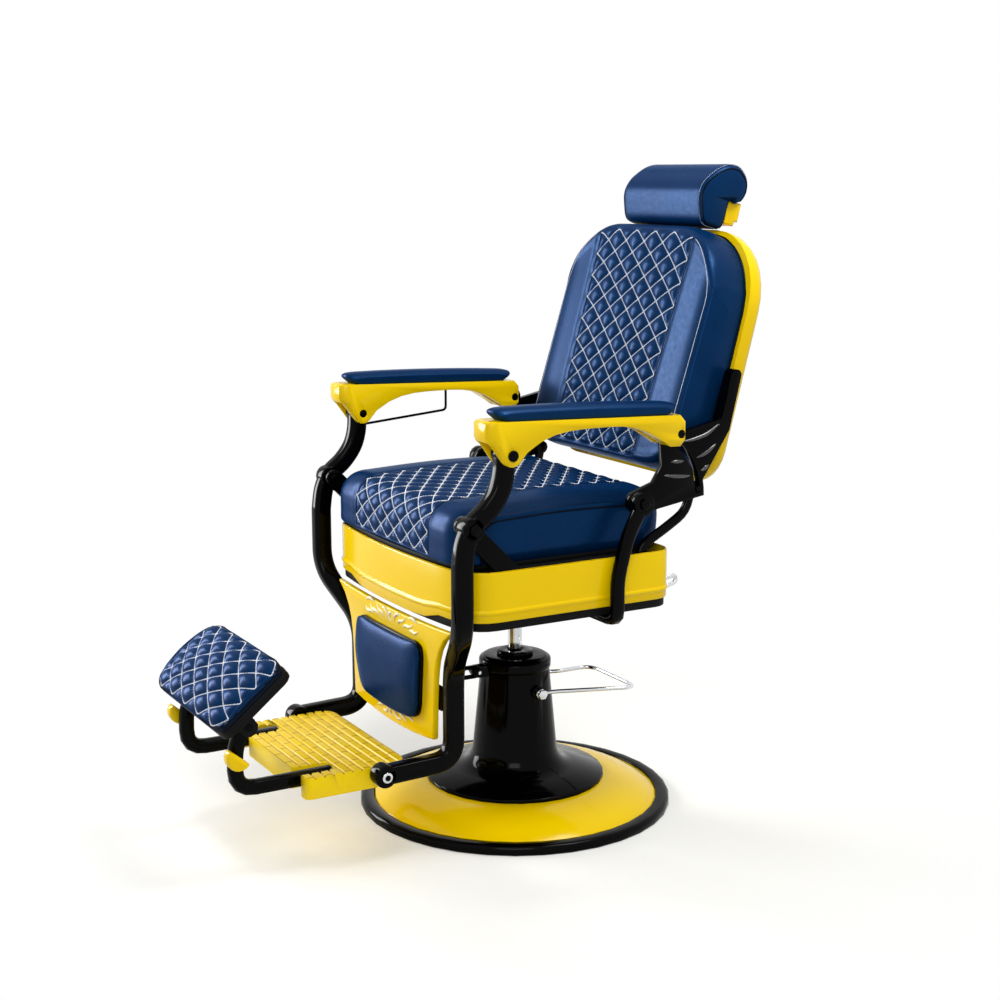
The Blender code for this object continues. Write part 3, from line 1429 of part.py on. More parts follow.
pillow_rear = plate_high_out + TOUCH
pillow_low = flange_low - HEADREST_HANG
pillow_hook_gap = plate_top + HEADREST_HOOK_GAP
pillow_front = pillow_rear + HEADREST_DEPTH


def pillow_outline():
    """Side view of the rolled headrest as (up, out): an upright front that curls back over the plate."""
    run = [(0.0391, -0.375), (-0.0078, -0.2344), (0.0, -0.0781), (0.0625, 0.0078)]
    run += [(0.2188, 0.0781), (0.4062, 0.1367), (0.5469, 0.1289), (0.6641, 0.0781)]
    run += [(0.7812, -0.0156), (0.8828, -0.1172), (0.9609, -0.2344), (1.0, -0.3516)]
    run += [(0.9922, -0.5156), (0.8594, -0.6797), (0.6875, -0.7109)]
    outline = [(pillow_low + up * HEADREST_ROLL, pillow_front + out * HEADREST_ROLL) for up, out in run]
    for up, out in ((0.03, -0.6484), (0.0, -0.5469)):
        outline.append((pillow_hook_gap + up * HEADREST_ROLL, pillow_front + out * HEADREST_ROLL))
    return outline + [(pillow_hook_gap, pillow_rear)]


pillow_stations = ((-1.0, 0.10), (-0.985, 0.045), (-0.94, 0.015), (-0.8, 0.0), (0.0, 0.0))
pillow_stations += tuple((-place, draw) for place, draw in reversed(pillow_stations[:-1]))
pillow_rings = []
for along, draw in pillow_stations:
    middle_up, middle_out = (pillow_low + pillow_hook_gap) / 2, pillow_rear
    pillow_rings.append(
        [
            back_place(
                HEADREST_HALF_WIDTH * along,
                up + (middle_up - up) * draw,
                out + (middle_out - out) * draw * (out > pillow_rear),
            )
            for up, out in pillow_outline()
        ]
    )
headrest_cushion = ring_solid("headrest_cushion", pillow_rings, "navy_leather")

# Calf panel, its cross bar and its pad
bar_front = LEG_Y - CALF_STANDOFF
leg_cross_bar = block(
    "leg_cross_bar",
    (-(leg_inner - TOUCH), bar_front, CROSS_BAR_HEIGHT - CROSS_BAR_DEPTH / 2),
    (leg_inner - TOUCH, bar_front + CROSS_BAR_THICK, CROSS_BAR_HEIGHT + CROSS_BAR_DEPTH / 2),
    "black_enamel",
)
calf_rear = bar_front - TOUCH
calf_front = calf_rear - CALF_THICK


def calf_half_width(height):
    """Half width of the calf panel: a straight taper that flares near its top."""
    along = (height - CALF_LOW) / (CALF_TOP - CALF_LOW)
    waist = leg_inner - CALF_SIDE_GAP
    taper = CALF_LOW_HALF_WIDTH + (waist - CALF_LOW_HALF_WIDTH) * along
    return taper + (CALF_TOP_HALF_WIDTH - waist) * along**6


def calf_outline():
    heights = [CALF_LOW + (CALF_TOP - CALF_LOW) * i / 10 for i in range(11)]
    right = [(calf_half_width(height), height) for height in heights]
    top = []
    low = []
    for i in range(1, 8):
        along = 1 - 2 * i / 8
        hang = 1 - along**2
        top.append((CALF_TOP_HALF_WIDTH * along, CALF_TOP - CALF_TOP_SAG * hang))
        low.append((-CALF_LOW_HALF_WIDTH * along, CALF_LOW - CALF_LOW_BULGE * hang))
    left = [(-x, height) for x, height in reversed(right)]
    return right + top + left + low


calf_panel = prism("calf_panel", calf_outline(), "Y", calf_front, calf_rear, "yellow_enamel")
soften(calf_panel, 0.002)


def calf_pad_half_width(height):
    along = (height - CALF_PAD_LOW) / (CALF_PAD_TOP - CALF_PAD_LOW)
    return CALF_PAD_LOW_HALF_WIDTH + (CALF_PAD_TOP_HALF_WIDTH - CALF_PAD_LOW_HALF_WIDTH) * along


calf_board_front = calf_front - TOUCH - CALF_PAD_BOARD_THICK
calf_board_corners = []
for height, edge in ((CALF_PAD_LOW, 0.005), (CALF_PAD_TOP, 0.005)):
    beyond = math.copysign(edge, height - CROSS_BAR_HEIGHT)
    calf_board_corners.append((calf_pad_half_width(height) + edge, height + beyond))
calf_board_run = [(-x, z) for x, z in calf_board_corners] + [(x, z) for x, z in reversed(calf_board_corners)]
calf_board_loop = calf_board_run[:1] + calf_board_run[1:]
calf_board_path = bent(
    [(x, z, 0) for x, z in calf_board_loop + calf_board_loop[:2]], 0.014, 3
)[1:-1]
calf_pad_board = prism(
    "calf_pad_board",
    [(p.x, p.y) for p in calf_board_path],
    "Y",
    calf_board_front,
    calf_front - TOUCH,
    "black_board",
)


def calf_pad_ends(x):
    back = rounded_end(x, CALF_PAD_TOP_HALF_WIDTH, 0.012)
    return (CALF_PAD_LOW + back, CALF_PAD_TOP - back)


def calf_pad_place(x, height, out):
    spread = calf_pad_half_width(height) / CALF_PAD_TOP_HALF_WIDTH
    return (x * spread, calf_board_front - TOUCH - out, height)


calf_rows = [(CALF_PAD_LOW, 0.0), (CALF_PAD_LOW, 0.40 * CALF_PAD_CROWN)]
for step in range(7):
    along = step / 6
    swell = 0.62 + 0.38 * math.sin(math.pi * along)
    rise = 0.010 + (CALF_PAD_TOP - CALF_PAD_LOW - 0.020) * along
    calf_rows.append((CALF_PAD_LOW + rise, CALF_PAD_CROWN * swell))
calf_rows += [(CALF_PAD_TOP, 0.40 * CALF_PAD_CROWN), (CALF_PAD_TOP, 0.0)]
calf_columns = pad_columns(CALF_PAD_TOP_HALF_WIDTH, CALF_PAD_TOP_HALF_WIDTH * 0.6, 4, 0.060, 0.5, 3)
calf_pad = pad("calf_pad", calf_columns, calf_rows, calf_pad_ends, calf_pad_place, "navy_leather", tuck=0.002)

# Foot platform with a ribbed tread, and slots for the pad arms
platform_low = PLATFORM_TOP - PLATFORM_THICK
tread = [(PLATFORM_REAR, platform_low), (PLATFORM_REAR, PLATFORM_TOP)]
tread_pitch = (PLATFORM_REAR - PLATFORM_FRONT) / (TREAD_GROOVES + 1)
for groove in range(1, TREAD_GROOVES + 1):
    middle = PLATFORM_REAR - groove * tread_pitch
    half = TREAD_GROOVE_WIDTH / 2
    tread += [
        (middle + half, PLATFORM_TOP),
        (middle + half * 0.6, PLATFORM_TOP - TREAD_GROOVE_DEPTH),
        (middle - half * 0.6, PLATFORM_TOP - TREAD_GROOVE_DEPTH),
        (middle - half, PLATFORM_TOP),
    ]
tread += [(PLATFORM_FRONT, PLATFORM_TOP), (PLATFORM_FRONT, platform_low)]
foot_platform = prism("foot_platform", tread, "X", -platform_half_width, platform_half_width, "yellow_enamel")
plan = []
platform_corners = ((1, PLATFORM_REAR, 0), (-1, PLATFORM_REAR, 90))
platform_corners += ((-1, PLATFORM_FRONT, 180), (1, PLATFORM_FRONT, 270))
for x_sign, y_end, start in platform_corners:
    corner = PLATFORM_CORNER if y_end == PLATFORM_REAR else PLATFORM_CORNER / 3
    inward = math.copysign(corner, PLATFORM_FRONT - y_end) if y_end == PLATFORM_REAR else corner
    plan += arc((x_sign * (platform_half_width - corner), y_end + inward), corner, start, start + 90, 4)
plan_tool = prism("plan", plan, "Z", platform_low - 0.05, PLATFORM_TOP + 0.05)
combine(foot_platform, plan_tool, "INTERSECT")
slot_root = PLATFORM_FRONT + PAD_SLOT_DEPTH
for side in (1, -1):
    slot_half = PAD_SLOT_WIDTH / 2
    slot_plan = arc((side * pad_arm_x, slot_root - slot_half), slot_half, 0, 180, 12)
    slot_plan += [(side * pad_arm_x - slot_half, PLATFORM_FRONT - 0.05)]
    slot_plan += [(side * pad_arm_x + slot_half, PLATFORM_FRONT - 0.05)]
    cut(
        foot_platform,
        prism("slot", slot_plan, "Z", platform_low - 0.05, PLATFORM_TOP + 0.05),
        cross_rod(
            "bore",
            PLATFORM_PIVOT,
            side * (platform_half_width - PLATFORM_BOLT_DEPTH),
            side * 0.4,
            PLATFORM_BOLT_RADIUS + PIN_PLAY,
        ),
    )

# Pad arms, hinge caps and the tilting foot pad
pad_tilt = math.radians(FOOT_PAD_TILT)
pad_up = Vector((0, math.cos(pad_tilt), math.sin(pad_tilt)))
pad_out = Vector((0, -math.sin(pad_tilt), math.cos(pad_tilt)))
pad_origin = Vector((0, *PAD_PIVOT))


def pad_place(x, up, out):
    return pad_origin + Vector((x, 0, 0)) + pad_up * up + pad_out * out


# How far the slot's round root falls back at the arm's corners
slot_round = rounded_end(PAD_ARM_WIDTH / 2, PAD_SLOT_WIDTH / 2, PAD_SLOT_WIDTH / 2)


def make_pad_arm(sign, word):
    level = PLATFORM_TOP - PAD_ARM_DEPTH / 2
    points = [
        (sign * pad_arm_x, slot_root - slot_round - 1.5 * TOUCH, level),
        (sign * pad_arm_x, PAD_PIVOT[0] - 0.020, level),
        (sign * pad_arm_x, PAD_PIVOT[0] - 0.018, PAD_PIVOT[1] - 0.040),
        (sign * pad_arm_x, *PAD_PIVOT),
    ]
    section = bar_section(PAD_ARM_WIDTH, PAD_ARM_DEPTH, 0.009)
    arm = swept("pad_arm_" + word, bent(points, 0.038), section, "black_enamel")
    inner, outer = sign * pad_arm_x - PAD_ARM_WIDTH / 2, sign * pad_arm_x + PAD_ARM_WIDTH / 2
    stub_end = sign * (pad_arm_x + PAD_ARM_WIDTH / 2 + SIDE_PLAY + PAD_LUG_THICK + TOUCH)
    fuse(
        arm,
        cross_rod("eye", PAD_PIVOT, inner, outer, PAD_EYE_RADIUS),
        cross_rod("stub", PAD_PIVOT, sign * pad_arm_x, stub_end, PAD_STUB_RADIUS),
    )
    return arm


def make_hinge_cap(sign, word):
    middle = (PAD_PIVOT[0] - 0.022, PAD_PIVOT[1] - 0.050)
    outline = arc(middle, HINGE_CAP_RADIUS, 135, 325, 10)
    face = pad_arm_x + PAD_ARM_WIDTH / 2 + TOUCH
    outer = face + HINGE_CAP_WIDTH
    cap = prism("hinge_cap_" + word, outline, "X", sign * face, sign * outer, "yellow_enamel")
    soften(cap, 0.002)
    return cap


pad_arms = [make_pad_arm(sign, word) for sign, word in ((1, "left"), (-1, "right"))]
hinge_caps = [make_hinge_cap(sign, word) for sign, word in ((1, "left"), (-1, "right"))]

board_low = PAD_EYE_RADIUS + FOOT_PAD_OFFSET
foot_half_length = FOOT_PAD_LENGTH / 2
board_section = bar_section(2 * FOOT_PAD_HALF_WIDTH, FOOT_PAD_LENGTH, 0.022, 3)
foot_pad_board = ring_solid(
    "foot_pad_board",
    [
        [pad_place(x, FOOT_PAD_RISE + up, out) for x, up in board_section]
        for out in (board_low, board_low + FOOT_BOARD_THICK)
    ],
    "black_board",
)
lug_half = PAD_EYE_RADIUS
lug_face = pad_arm_x + PAD_ARM_WIDTH / 2 + SIDE_PLAY
for side in (1, -1):
    lug_side = [(lug_half, board_low + FOOT_BOARD_THICK / 2)] + arc((0, 0), lug_half, 0, -180, 6)[1:-1]
    lug_side += [(-lug_half, board_low + FOOT_BOARD_THICK / 2)]
    lug = ring_solid(
        "lug",
        [
            [pad_place(x, up, out) for up, out in lug_side]
            for x in (side * lug_face, side * (lug_face + PAD_LUG_THICK))
        ],
    )
    fuse(foot_pad_board, lug)
    cut(foot_pad_board, cross_rod("bore", PAD_PIVOT, side * 0.1, side * 0.3, PAD_STUB_RADIUS + PIN_PLAY))


def foot_ends(x):
    back = rounded_end(x, FOOT_PAD_HALF_WIDTH, 0.022)
    return (-foot_half_length + back, foot_half_length - back)


def foot_cushion_place(x, up, out):
    return pad_place(x, FOOT_PAD_RISE + up, board_low + FOOT_BOARD_THICK + TOUCH + out)


foot_rows = [(-foot_half_length, 0.0), (-foot_half_length, 0.45 * FOOT_CUSHION_THICK)]
foot_steps = round(2 * FOOT_DIAMONDS[1])
for step in range(foot_steps + 1):
    along = step / foot_steps
    swell = 0.74 + 0.26 * math.sin(math.pi * along) ** 0.7
    rise = 0.008 + (FOOT_PAD_LENGTH - 0.016) * along
    foot_rows.append((rise - foot_half_length, FOOT_CUSHION_THICK * swell))
foot_rows += [(foot_half_length, 0.45 * FOOT_CUSHION_THICK), (foot_half_length, 0.0)]
foot_panel_half_width = FOOT_PAD_HALF_WIDTH - 0.012
foot_panel_steps = round(2 * FOOT_DIAMONDS[0])
foot_columns = pad_columns(FOOT_PAD_HALF_WIDTH, foot_panel_half_width, foot_panel_steps, 0.045, 0.40, 2)
foot_pad_cushion = pad(
    "foot_pad_cushion",
    foot_columns,
    foot_rows,
    foot_ends,
    foot_cushion_place,
    "navy_leather",
    panel=(3, len(foot_columns) - 4, 2, len(foot_rows) - 3),
)

# Recline lever on its block under the seat's rear edge
block_front, block_rear = APRON_REAR - 0.060, RECLINE_LEVER_PIVOT[0]
block_top = SEAT_UNDERSIDE - TOUCH
block_radius = block_top - RECLINE_LEVER_PIVOT[1]
block_side = [(block_front, block_top), (block_front, block_top - 2 * block_radius)]
block_side += arc(RECLINE_LEVER_PIVOT, block_radius, 270, 450, 8)
recline_lever_bracket = prism(
    "recline_lever_bracket",
    block_side,
    "X",
    RECLINE_LEVER_X - LEVER_BLOCK_WIDTH / 2,
    RECLINE_LEVER_X + LEVER_BLOCK_WIDTH / 2,
    "black_enamel",
)
lever_slot_half = LEVER_EYE_WIDTH / 2 + SIDE_PLAY / 2
slot_front = RECLINE_LEVER_PIVOT[0] - LEVER_EYE_RADIUS - WIRE_RADIUS * 2
cut(
    recline_lever_bracket,
    block(
        "slot",
        (RECLINE_LEVER_X - lever_slot_half, slot_front, 0.30),
        (RECLINE_LEVER_X + lever_slot_half, 0.40, block_top + 0.05),
    ),
)
fuse(
    recline_lever_bracket,
    cross_rod(
        "pin",
        RECLINE_LEVER_PIVOT,
        RECLINE_LEVER_X - LEVER_BLOCK_WIDTH / 2 + TOUCH,
        RECLINE_LEVER_X + LEVER_BLOCK_WIDTH / 2 - TOUCH,
        LOCK_PIN_RADIUS,
        sides=12,
    ),
)
recline_lever = hairpin(
    "recline_lever",
    RECLINE_LEVER_PIVOT,
    (RECLINE_LEVER_TIP, RECLINE_LEVER_PIVOT[1] + RECLINE_LEVER_RISE),
    LEVER_EYE_RADIUS * 0.9,
    RECLINE_LEVER_X,
    LEVER_EYE_RADIUS - WIRE_RADIUS * 0.4,
    LEVER_EYE_WIDTH,
    LOCK_PIN_RADIUS,
    "chrome",
)


# One empty for each moving body, on its joint's axis
def add_body(name, place, parent=None, stands_at=None):
    """An empty drawn at a place. It moves its pieces along when it stands elsewhere on its parent."""
    empty = bpy.data.objects.new(name, None)
    empty.empty_display_size = 0.05
    bpy.context.collection.objects.link(empty)
    empty.parent = parent
    empty.location = Vector(stands_at or place) - (Vector(body_places[parent.name]) if parent else Vector())
    body_places[name] = place
    return empty


def carry(body, *parts):
    for part in parts:
        part.parent = body
        part.location = -Vector(body_places[body.name])


def both(*names):
    return [sides[word][name] for word in ("left", "right") for name in names]


body_places = {}
base = add_body("base_body", (0, 0, 0))
carry(base, base_plate, base_cover, base_rim_ring, pump_column, hydraulic_cylinder, rod_gland)
carry(base, swivel_lock_pin, *pedal_pivots)
pedal = add_body("pedal_body", (0, *pedal_pivot), base)
carry(pedal, pump_pedal)
lock = add_body("lock_body", (0, *lock_pivot), base)
carry(lock, swivel_lock_lever)
piston = add_body("piston_body", (0, 0, ROD_FOOT), base)
carry(piston, piston_rod, swivel_bearing)
seat = add_body("seat_body", (0, 0, seat_foot), piston, (0, 0, socket_low))
carry(seat, seat_socket, seat_frame, seat_apron, seat_board, seat_cushion, recline_lever_bracket)
carry(seat, *both("front_hanger", "rear_post", "rear_stay", "knuckle_pin", "back_pivot_pin"))
lever = add_body("lever_body", (RECLINE_LEVER_X, *RECLINE_LEVER_PIVOT), seat)
carry(lever, recline_lever)
leg = add_body("leg_body", (0, *knuckle_pivot), seat)
carry(leg, leg_cross_bar, calf_panel, calf_pad_board, calf_pad, *both("leg_frame", "platform_bolt"))
platform = add_body("platform_body", (0, *PLATFORM_PIVOT), leg)
carry(platform, foot_platform, *pad_arms, *hinge_caps)
foot_pad = add_body("foot_pad_body", (0, *PAD_PIVOT), platform)
carry(foot_pad, foot_pad_board, foot_pad_cushion)
back = add_body("back_body", (0, *BACK_PIVOT), seat)
carry(back, back_shell, back_cushion, headrest_guide, *both("back_bracket"))
for word in ("left", "right"):
    arm = add_body("arm_" + word + "_body", (0, *rear_arm_pivot), back)
    carry(arm, *[sides[word][name] for name in ("armrest", "arm_pad", "lug_bolt")])
    if word == "right":
        carry(arm, towel_bar)
headrest = add_body("headrest_body", tuple(back_place(0, bar_low, bar_out)), back)
carry(headrest, headrest_bar, headrest_bracket, headrest_cushion)

soft_parts = [seat_cushion, back_cushion, headrest_cushion, calf_pad, foot_pad_cushion, *both("arm_pad")]
for part in list(bpy.data.objects):
    if part.type == "MESH":
        shade(part, 80.0 if part in soft_parts else 35.0)
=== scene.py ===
"""Looks of the barber chair: upholstery, stitching, trim, finishes and the studio around it.

Metres, +Z up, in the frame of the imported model. The sitter faces -Y with their left at +X.
"""

import json
import math

import bmesh
import bpy
import numpy as np
from bpy.props import FloatProperty, FloatVectorProperty, IntProperty, PointerProperty, StringProperty
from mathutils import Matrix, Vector


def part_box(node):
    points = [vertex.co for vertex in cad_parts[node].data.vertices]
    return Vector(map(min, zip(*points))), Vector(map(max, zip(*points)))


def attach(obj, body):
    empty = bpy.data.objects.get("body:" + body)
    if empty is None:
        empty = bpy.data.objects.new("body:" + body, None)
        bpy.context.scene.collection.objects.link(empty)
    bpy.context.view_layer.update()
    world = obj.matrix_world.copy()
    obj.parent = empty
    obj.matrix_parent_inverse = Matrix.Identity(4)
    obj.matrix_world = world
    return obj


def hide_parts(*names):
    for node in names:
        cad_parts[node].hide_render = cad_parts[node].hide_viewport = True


bl_info = {
    "name": "Barber chair looks",
    "version": (1, 0, 0),
    "blender": (4, 5, 0),
    "location": "View3D > Sidebar > Barber chair",
    "description": "Upholstery, stitching, trim and finishes of a barber chair",
    "category": "Object",
}

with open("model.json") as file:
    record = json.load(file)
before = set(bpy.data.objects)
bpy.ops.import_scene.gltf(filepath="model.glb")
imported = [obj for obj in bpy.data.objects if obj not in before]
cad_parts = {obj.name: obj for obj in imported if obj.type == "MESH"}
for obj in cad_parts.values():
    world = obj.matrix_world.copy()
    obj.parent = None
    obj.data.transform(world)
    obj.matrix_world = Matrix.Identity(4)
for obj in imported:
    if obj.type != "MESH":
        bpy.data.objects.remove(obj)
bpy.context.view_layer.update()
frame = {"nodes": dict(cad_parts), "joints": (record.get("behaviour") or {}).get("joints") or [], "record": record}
nodes = frame["nodes"]
joint_places = {joint["name"]: joint.get("pos_m") for joint in frame["joints"]}


# Sizes and colours that a user would change
class LeatherSettings(bpy.types.PropertyGroup):
    colour: StringProperty(name="Leather", description="Leather colour as sRGB hex", default="05305C")
    shade: StringProperty(name="Leather shade", description="Darker tone in the grain", default="04244B")
    piping: StringProperty(name="Piping", description="Colour of the piping", default="04060C")
    thread: StringProperty(name="Thread", description="Colour of the stitching", default="F4F6FA")
    swell: FloatProperty(
        name="Quilt swell", description="Height of a quilted diamond", default=0.0040, unit="LENGTH"
    )
    stitch_pitch: FloatProperty(
        name="Stitch pitch", description="From one stitch to the next", default=0.0054, unit="LENGTH"
    )
    stitch_length: FloatProperty(
        name="Stitch length", description="Length of one stitch", default=0.0052, unit="LENGTH"
    )
    thread_radius: FloatProperty(
        name="Thread radius", description="Radius of the sewing thread", default=0.0013, unit="LENGTH"
    )
    piping_radius: FloatProperty(
        name="Piping radius", description="Radius of the piping", default=0.0026, unit="LENGTH"
    )
    refine: IntProperty(name="Refine", description="Mesh steps in half a diamond", default=6, min=2, max=10)


class FinishSettings(bpy.types.PropertyGroup):
    yellow: StringProperty(name="Yellow", description="Yellow enamel as sRGB hex", default="FFDA00")
    black: StringProperty(name="Black", description="Black enamel as sRGB hex", default="020202")
    chrome: StringProperty(name="Chrome", description="Chrome plate as sRGB hex", default="E3E5E8")
    ornament: StringProperty(
        name="Ornament", description="Paint of the relief as sRGB hex", default="FFF6D2"
    )
    edge: FloatProperty(
        name="Edge", description="Radius of the castings' edges", default=0.0016, unit="LENGTH"
    )


class StageSettings(bpy.types.PropertyGroup):
    camera_place: FloatVectorProperty(
        name="Camera", description="Where the camera stands", default=(2.787, -1.6299, 1.2331), subtype="XYZ"
    )
    camera_turn: FloatProperty(name="Turn", description="Camera's turn from +Y in degrees", default=60.2038)
    camera_pitch: FloatProperty(
        name="Pitch", description="Camera's pitch below level in degrees", default=10.9687
    )
    lens: FloatProperty(name="Lens", description="Focal length in millimetres", default=60.7014)
    key: FloatProperty(
        name="Key light", description="Power of the front softbox", default=130.0, subtype="POWER"
    )
    top: FloatProperty(
        name="Top light", description="Power of the overhead softbox", default=52.0, subtype="POWER"
    )
    fill: FloatProperty(
        name="Fill light", description="Power of the side softbox", default=42.0, subtype="POWER"
    )
    ambient: FloatProperty(name="Ambient", description="Strength of the room's own light", default=0.32)


def leather_settings():
    return bpy.context.scene.chair_leather


def finish_settings():
    return bpy.context.scene.chair_finish


def stage_settings():
    return bpy.context.scene.chair_stage


# Materials
def linear(code, alpha=1.0):
    """Linear colour of an sRGB hex value."""
    levels = [int(code[i : i + 2], 16) / 255 for i in (0, 2, 4)]
    return (*[((v + 0.055) / 1.055) ** 2.4 if v > 0.04045 else v / 12.92 for v in levels], alpha)


def add_node(tree, kind, inputs=None, **settings):
    """Adds a node, sets it up, and links or fills its inputs."""
    made = tree.nodes.new(kind)
    for key, value in settings.items():
        setattr(made, key, value)
    for key, value in (inputs or {}).items():
        if isinstance(value, bpy.types.NodeSocket):
            tree.links.new(value, made.inputs[key])
        else:
            made.inputs[key].default_value = value
    return made


def new_material(name):
    """An empty material with its tree, shader and object coordinates."""
    made = bpy.data.materials.new(name)
    made.use_nodes = True
    tree = made.node_tree
    shader = tree.nodes["Principled BSDF"]
    place = add_node(tree, "ShaderNodeTexCoord").outputs["Object"]
    return made, tree, shader, place


def cells_per_metre(millimetres):
    """Texture scale that gives features of a size."""
    return 1000.0 / millimetres


def make_leather(name, colour, shade):
    """Corrected-grain upholstery leather: pebbled, its pearly satin topcoat keeps broad highlights blue."""
    made, tree, shader, place = new_material(name)
    clouds = add_node(
        tree, "ShaderNodeTexNoise", {"Vector": place, "Scale": cells_per_metre(70), "Detail": 3.0}
    )
    pebble = add_node(
        tree, "ShaderNodeTexVoronoi", {"Vector": place, "Scale": cells_per_metre(2.4)}, feature="SMOOTH_F1"
    )
    crease = add_node(
        tree,
        "ShaderNodeTexNoise",
        {"Vector": place, "Scale": cells_per_metre(9), "Detail": 6.0, "Roughness": 0.6},
    )
    tone = add_node(
        tree,
        "ShaderNodeMix",
        {0: clouds.outputs["Fac"], 6: linear(colour), 7: linear(shade)},
        data_type="RGBA",
    )
    worn = add_node(
        tree,
        "ShaderNodeMapRange",
        {"Value": crease.outputs["Fac"], "From Min": 0.3, "From Max": 0.7, "To Min": 0.26, "To Max": 0.36},
    )
    relief = add_node(
        tree,
        "ShaderNodeMath",
        {0: pebble.outputs["Distance"], 1: crease.outputs["Fac"]},
        operation="MULTIPLY",
    )
    bump = add_node(
        tree, "ShaderNodeBump", {"Strength": 0.12, "Distance": 0.0005, "Height": relief.outputs["Value"]}
    )
    tree.links.new(tone.outputs[2], shader.inputs["Base Color"])
    tree.links.new(worn.outputs["Result"], shader.inputs["Roughness"])
    tree.links.new(bump.outputs["Normal"], shader.inputs["Normal"])
    graze = add_node(tree, "ShaderNodeLayerWeight", {"Blend": 0.5})
    gloss = add_node(
        tree,
        "ShaderNodeMapRange",
        {
            "Value": graze.outputs["Facing"],
            "From Min": 0.25,
            "From Max": 0.7,
            "To Min": 0.15,
            "To Max": 0.012,
        },
    )
    shader.inputs["Specular IOR Level"].default_value = 0.08
    tree.links.new(gloss.outputs["Result"], shader.inputs["Specular IOR Level"])
    shader.inputs["Specular Tint"].default_value = linear("8CC6FF")
    shader.inputs["Metallic"].default_value = 0.2
    return made


def make_enamel(name, colour, shade, roughness, specular):
    """Stoved enamel on metal: a deep gloss with the faint orange peel of a sprayed coat."""
    made, tree, shader, place = new_material(name)
    drift = add_node(
        tree, "ShaderNodeTexNoise", {"Vector": place, "Scale": cells_per_metre(120), "Detail": 2.0}
    )
    peel = add_node(
        tree, "ShaderNodeTexNoise", {"Vector": place, "Scale": cells_per_metre(4), "Detail": 1.0}
    )
    haze = add_node(
        tree, "ShaderNodeTexNoise", {"Vector": place, "Scale": cells_per_metre(25), "Detail": 4.0}
    )
    tone = add_node(
        tree,
        "ShaderNodeMix",
        {0: drift.outputs["Fac"], 6: linear(colour), 7: linear(shade)},
        data_type="RGBA",
    )
    dull = add_node(
        tree,
        "ShaderNodeMapRange",
        {"Value": haze.outputs["Fac"], "To Min": roughness * 0.8, "To Max": roughness * 1.25},
    )
    bump = add_node(
        tree, "ShaderNodeBump", {"Strength": 0.05, "Distance": 0.0004, "Height": peel.outputs["Fac"]}
    )
    tree.links.new(tone.outputs[2], shader.inputs["Base Color"])
    tree.links.new(dull.outputs["Result"], shader.inputs["Roughness"])
    tree.links.new(bump.outputs["Normal"], shader.inputs["Normal"])
    shader.inputs["Specular IOR Level"].default_value = specular
    return made


def make_chrome(name, colour):
    """Polished chrome plate: a clear mirror with fine wiping marks."""
    made, tree, shader, place = new_material(name)
    wipe = add_node(
        tree,
        "ShaderNodeTexNoise",
        {"Vector": place, "Scale": cells_per_metre(6), "Detail": 6.0, "Roughness": 0.7},
    )
    mark = add_node(
        tree, "ShaderNodeMapRange", {"Value": wipe.outputs["Fac"], "To Min": 0.05, "To Max": 0.16}
    )
    cloud = add_node(tree, "ShaderNodeTexNoise", {"Vector": place, "Scale": cells_per_metre(40)})
    tone = add_node(
        tree,
        "ShaderNodeMix",
        {0: cloud.outputs["Fac"], 6: linear(colour), 7: linear("C9CCD1")},
        data_type="RGBA",
    )
    tree.links.new(tone.outputs[2], shader.inputs["Base Color"])
    tree.links.new(mark.outputs["Result"], shader.inputs["Roughness"])
    shader.inputs["Metallic"].default_value = 1.0
    return made


def make_steel(name, colour):
    """Turned mild steel: dull grey with fine tool marks in rings."""
    made, tree, shader, place = new_material(name)
    rings = add_node(
        tree,
        "ShaderNodeTexWave",
        {"Vector": place, "Scale": cells_per_metre(12), "Distortion": 1.5, "Detail": 2.0},
        wave_type="RINGS",
        rings_direction="Z",
    )
    mark = add_node(
        tree, "ShaderNodeMapRange", {"Value": rings.outputs["Fac"], "To Min": 0.3, "To Max": 0.45}
    )
    tone = add_node(
        tree,
        "ShaderNodeMix",
        {0: rings.outputs["Fac"], 6: linear(colour), 7: linear("6E7176")},
        data_type="RGBA",
    )
    tree.links.new(tone.outputs[2], shader.inputs["Base Color"])
    tree.links.new(mark.outputs["Result"], shader.inputs["Roughness"])
    shader.inputs["Metallic"].default_value = 1.0
    return made


def make_thread(name, colour):
    """Bonded polyester thread: two plies twisted together, slightly waxed."""
    made, tree, shader, place = new_material(name)
    ply = add_node(
        tree,
        "ShaderNodeTexWave",
        {"Vector": place, "Scale": cells_per_metre(2.0), "Distortion": 0.6},
        bands_direction="DIAGONAL",
    )
    tone = add_node(
        tree,
        "ShaderNodeMix",
        {0: ply.outputs["Fac"], 6: linear(colour), 7: linear("DDE3EE")},
        data_type="RGBA",
    )
    bump = add_node(
        tree, "ShaderNodeBump", {"Strength": 0.3, "Distance": 0.0002, "Height": ply.outputs["Fac"]}
    )
    tree.links.new(tone.outputs[2], shader.inputs["Base Color"])
    tree.links.new(bump.outputs["Normal"], shader.inputs["Normal"])
    shader.inputs["Roughness"].default_value = 0.55
    return made


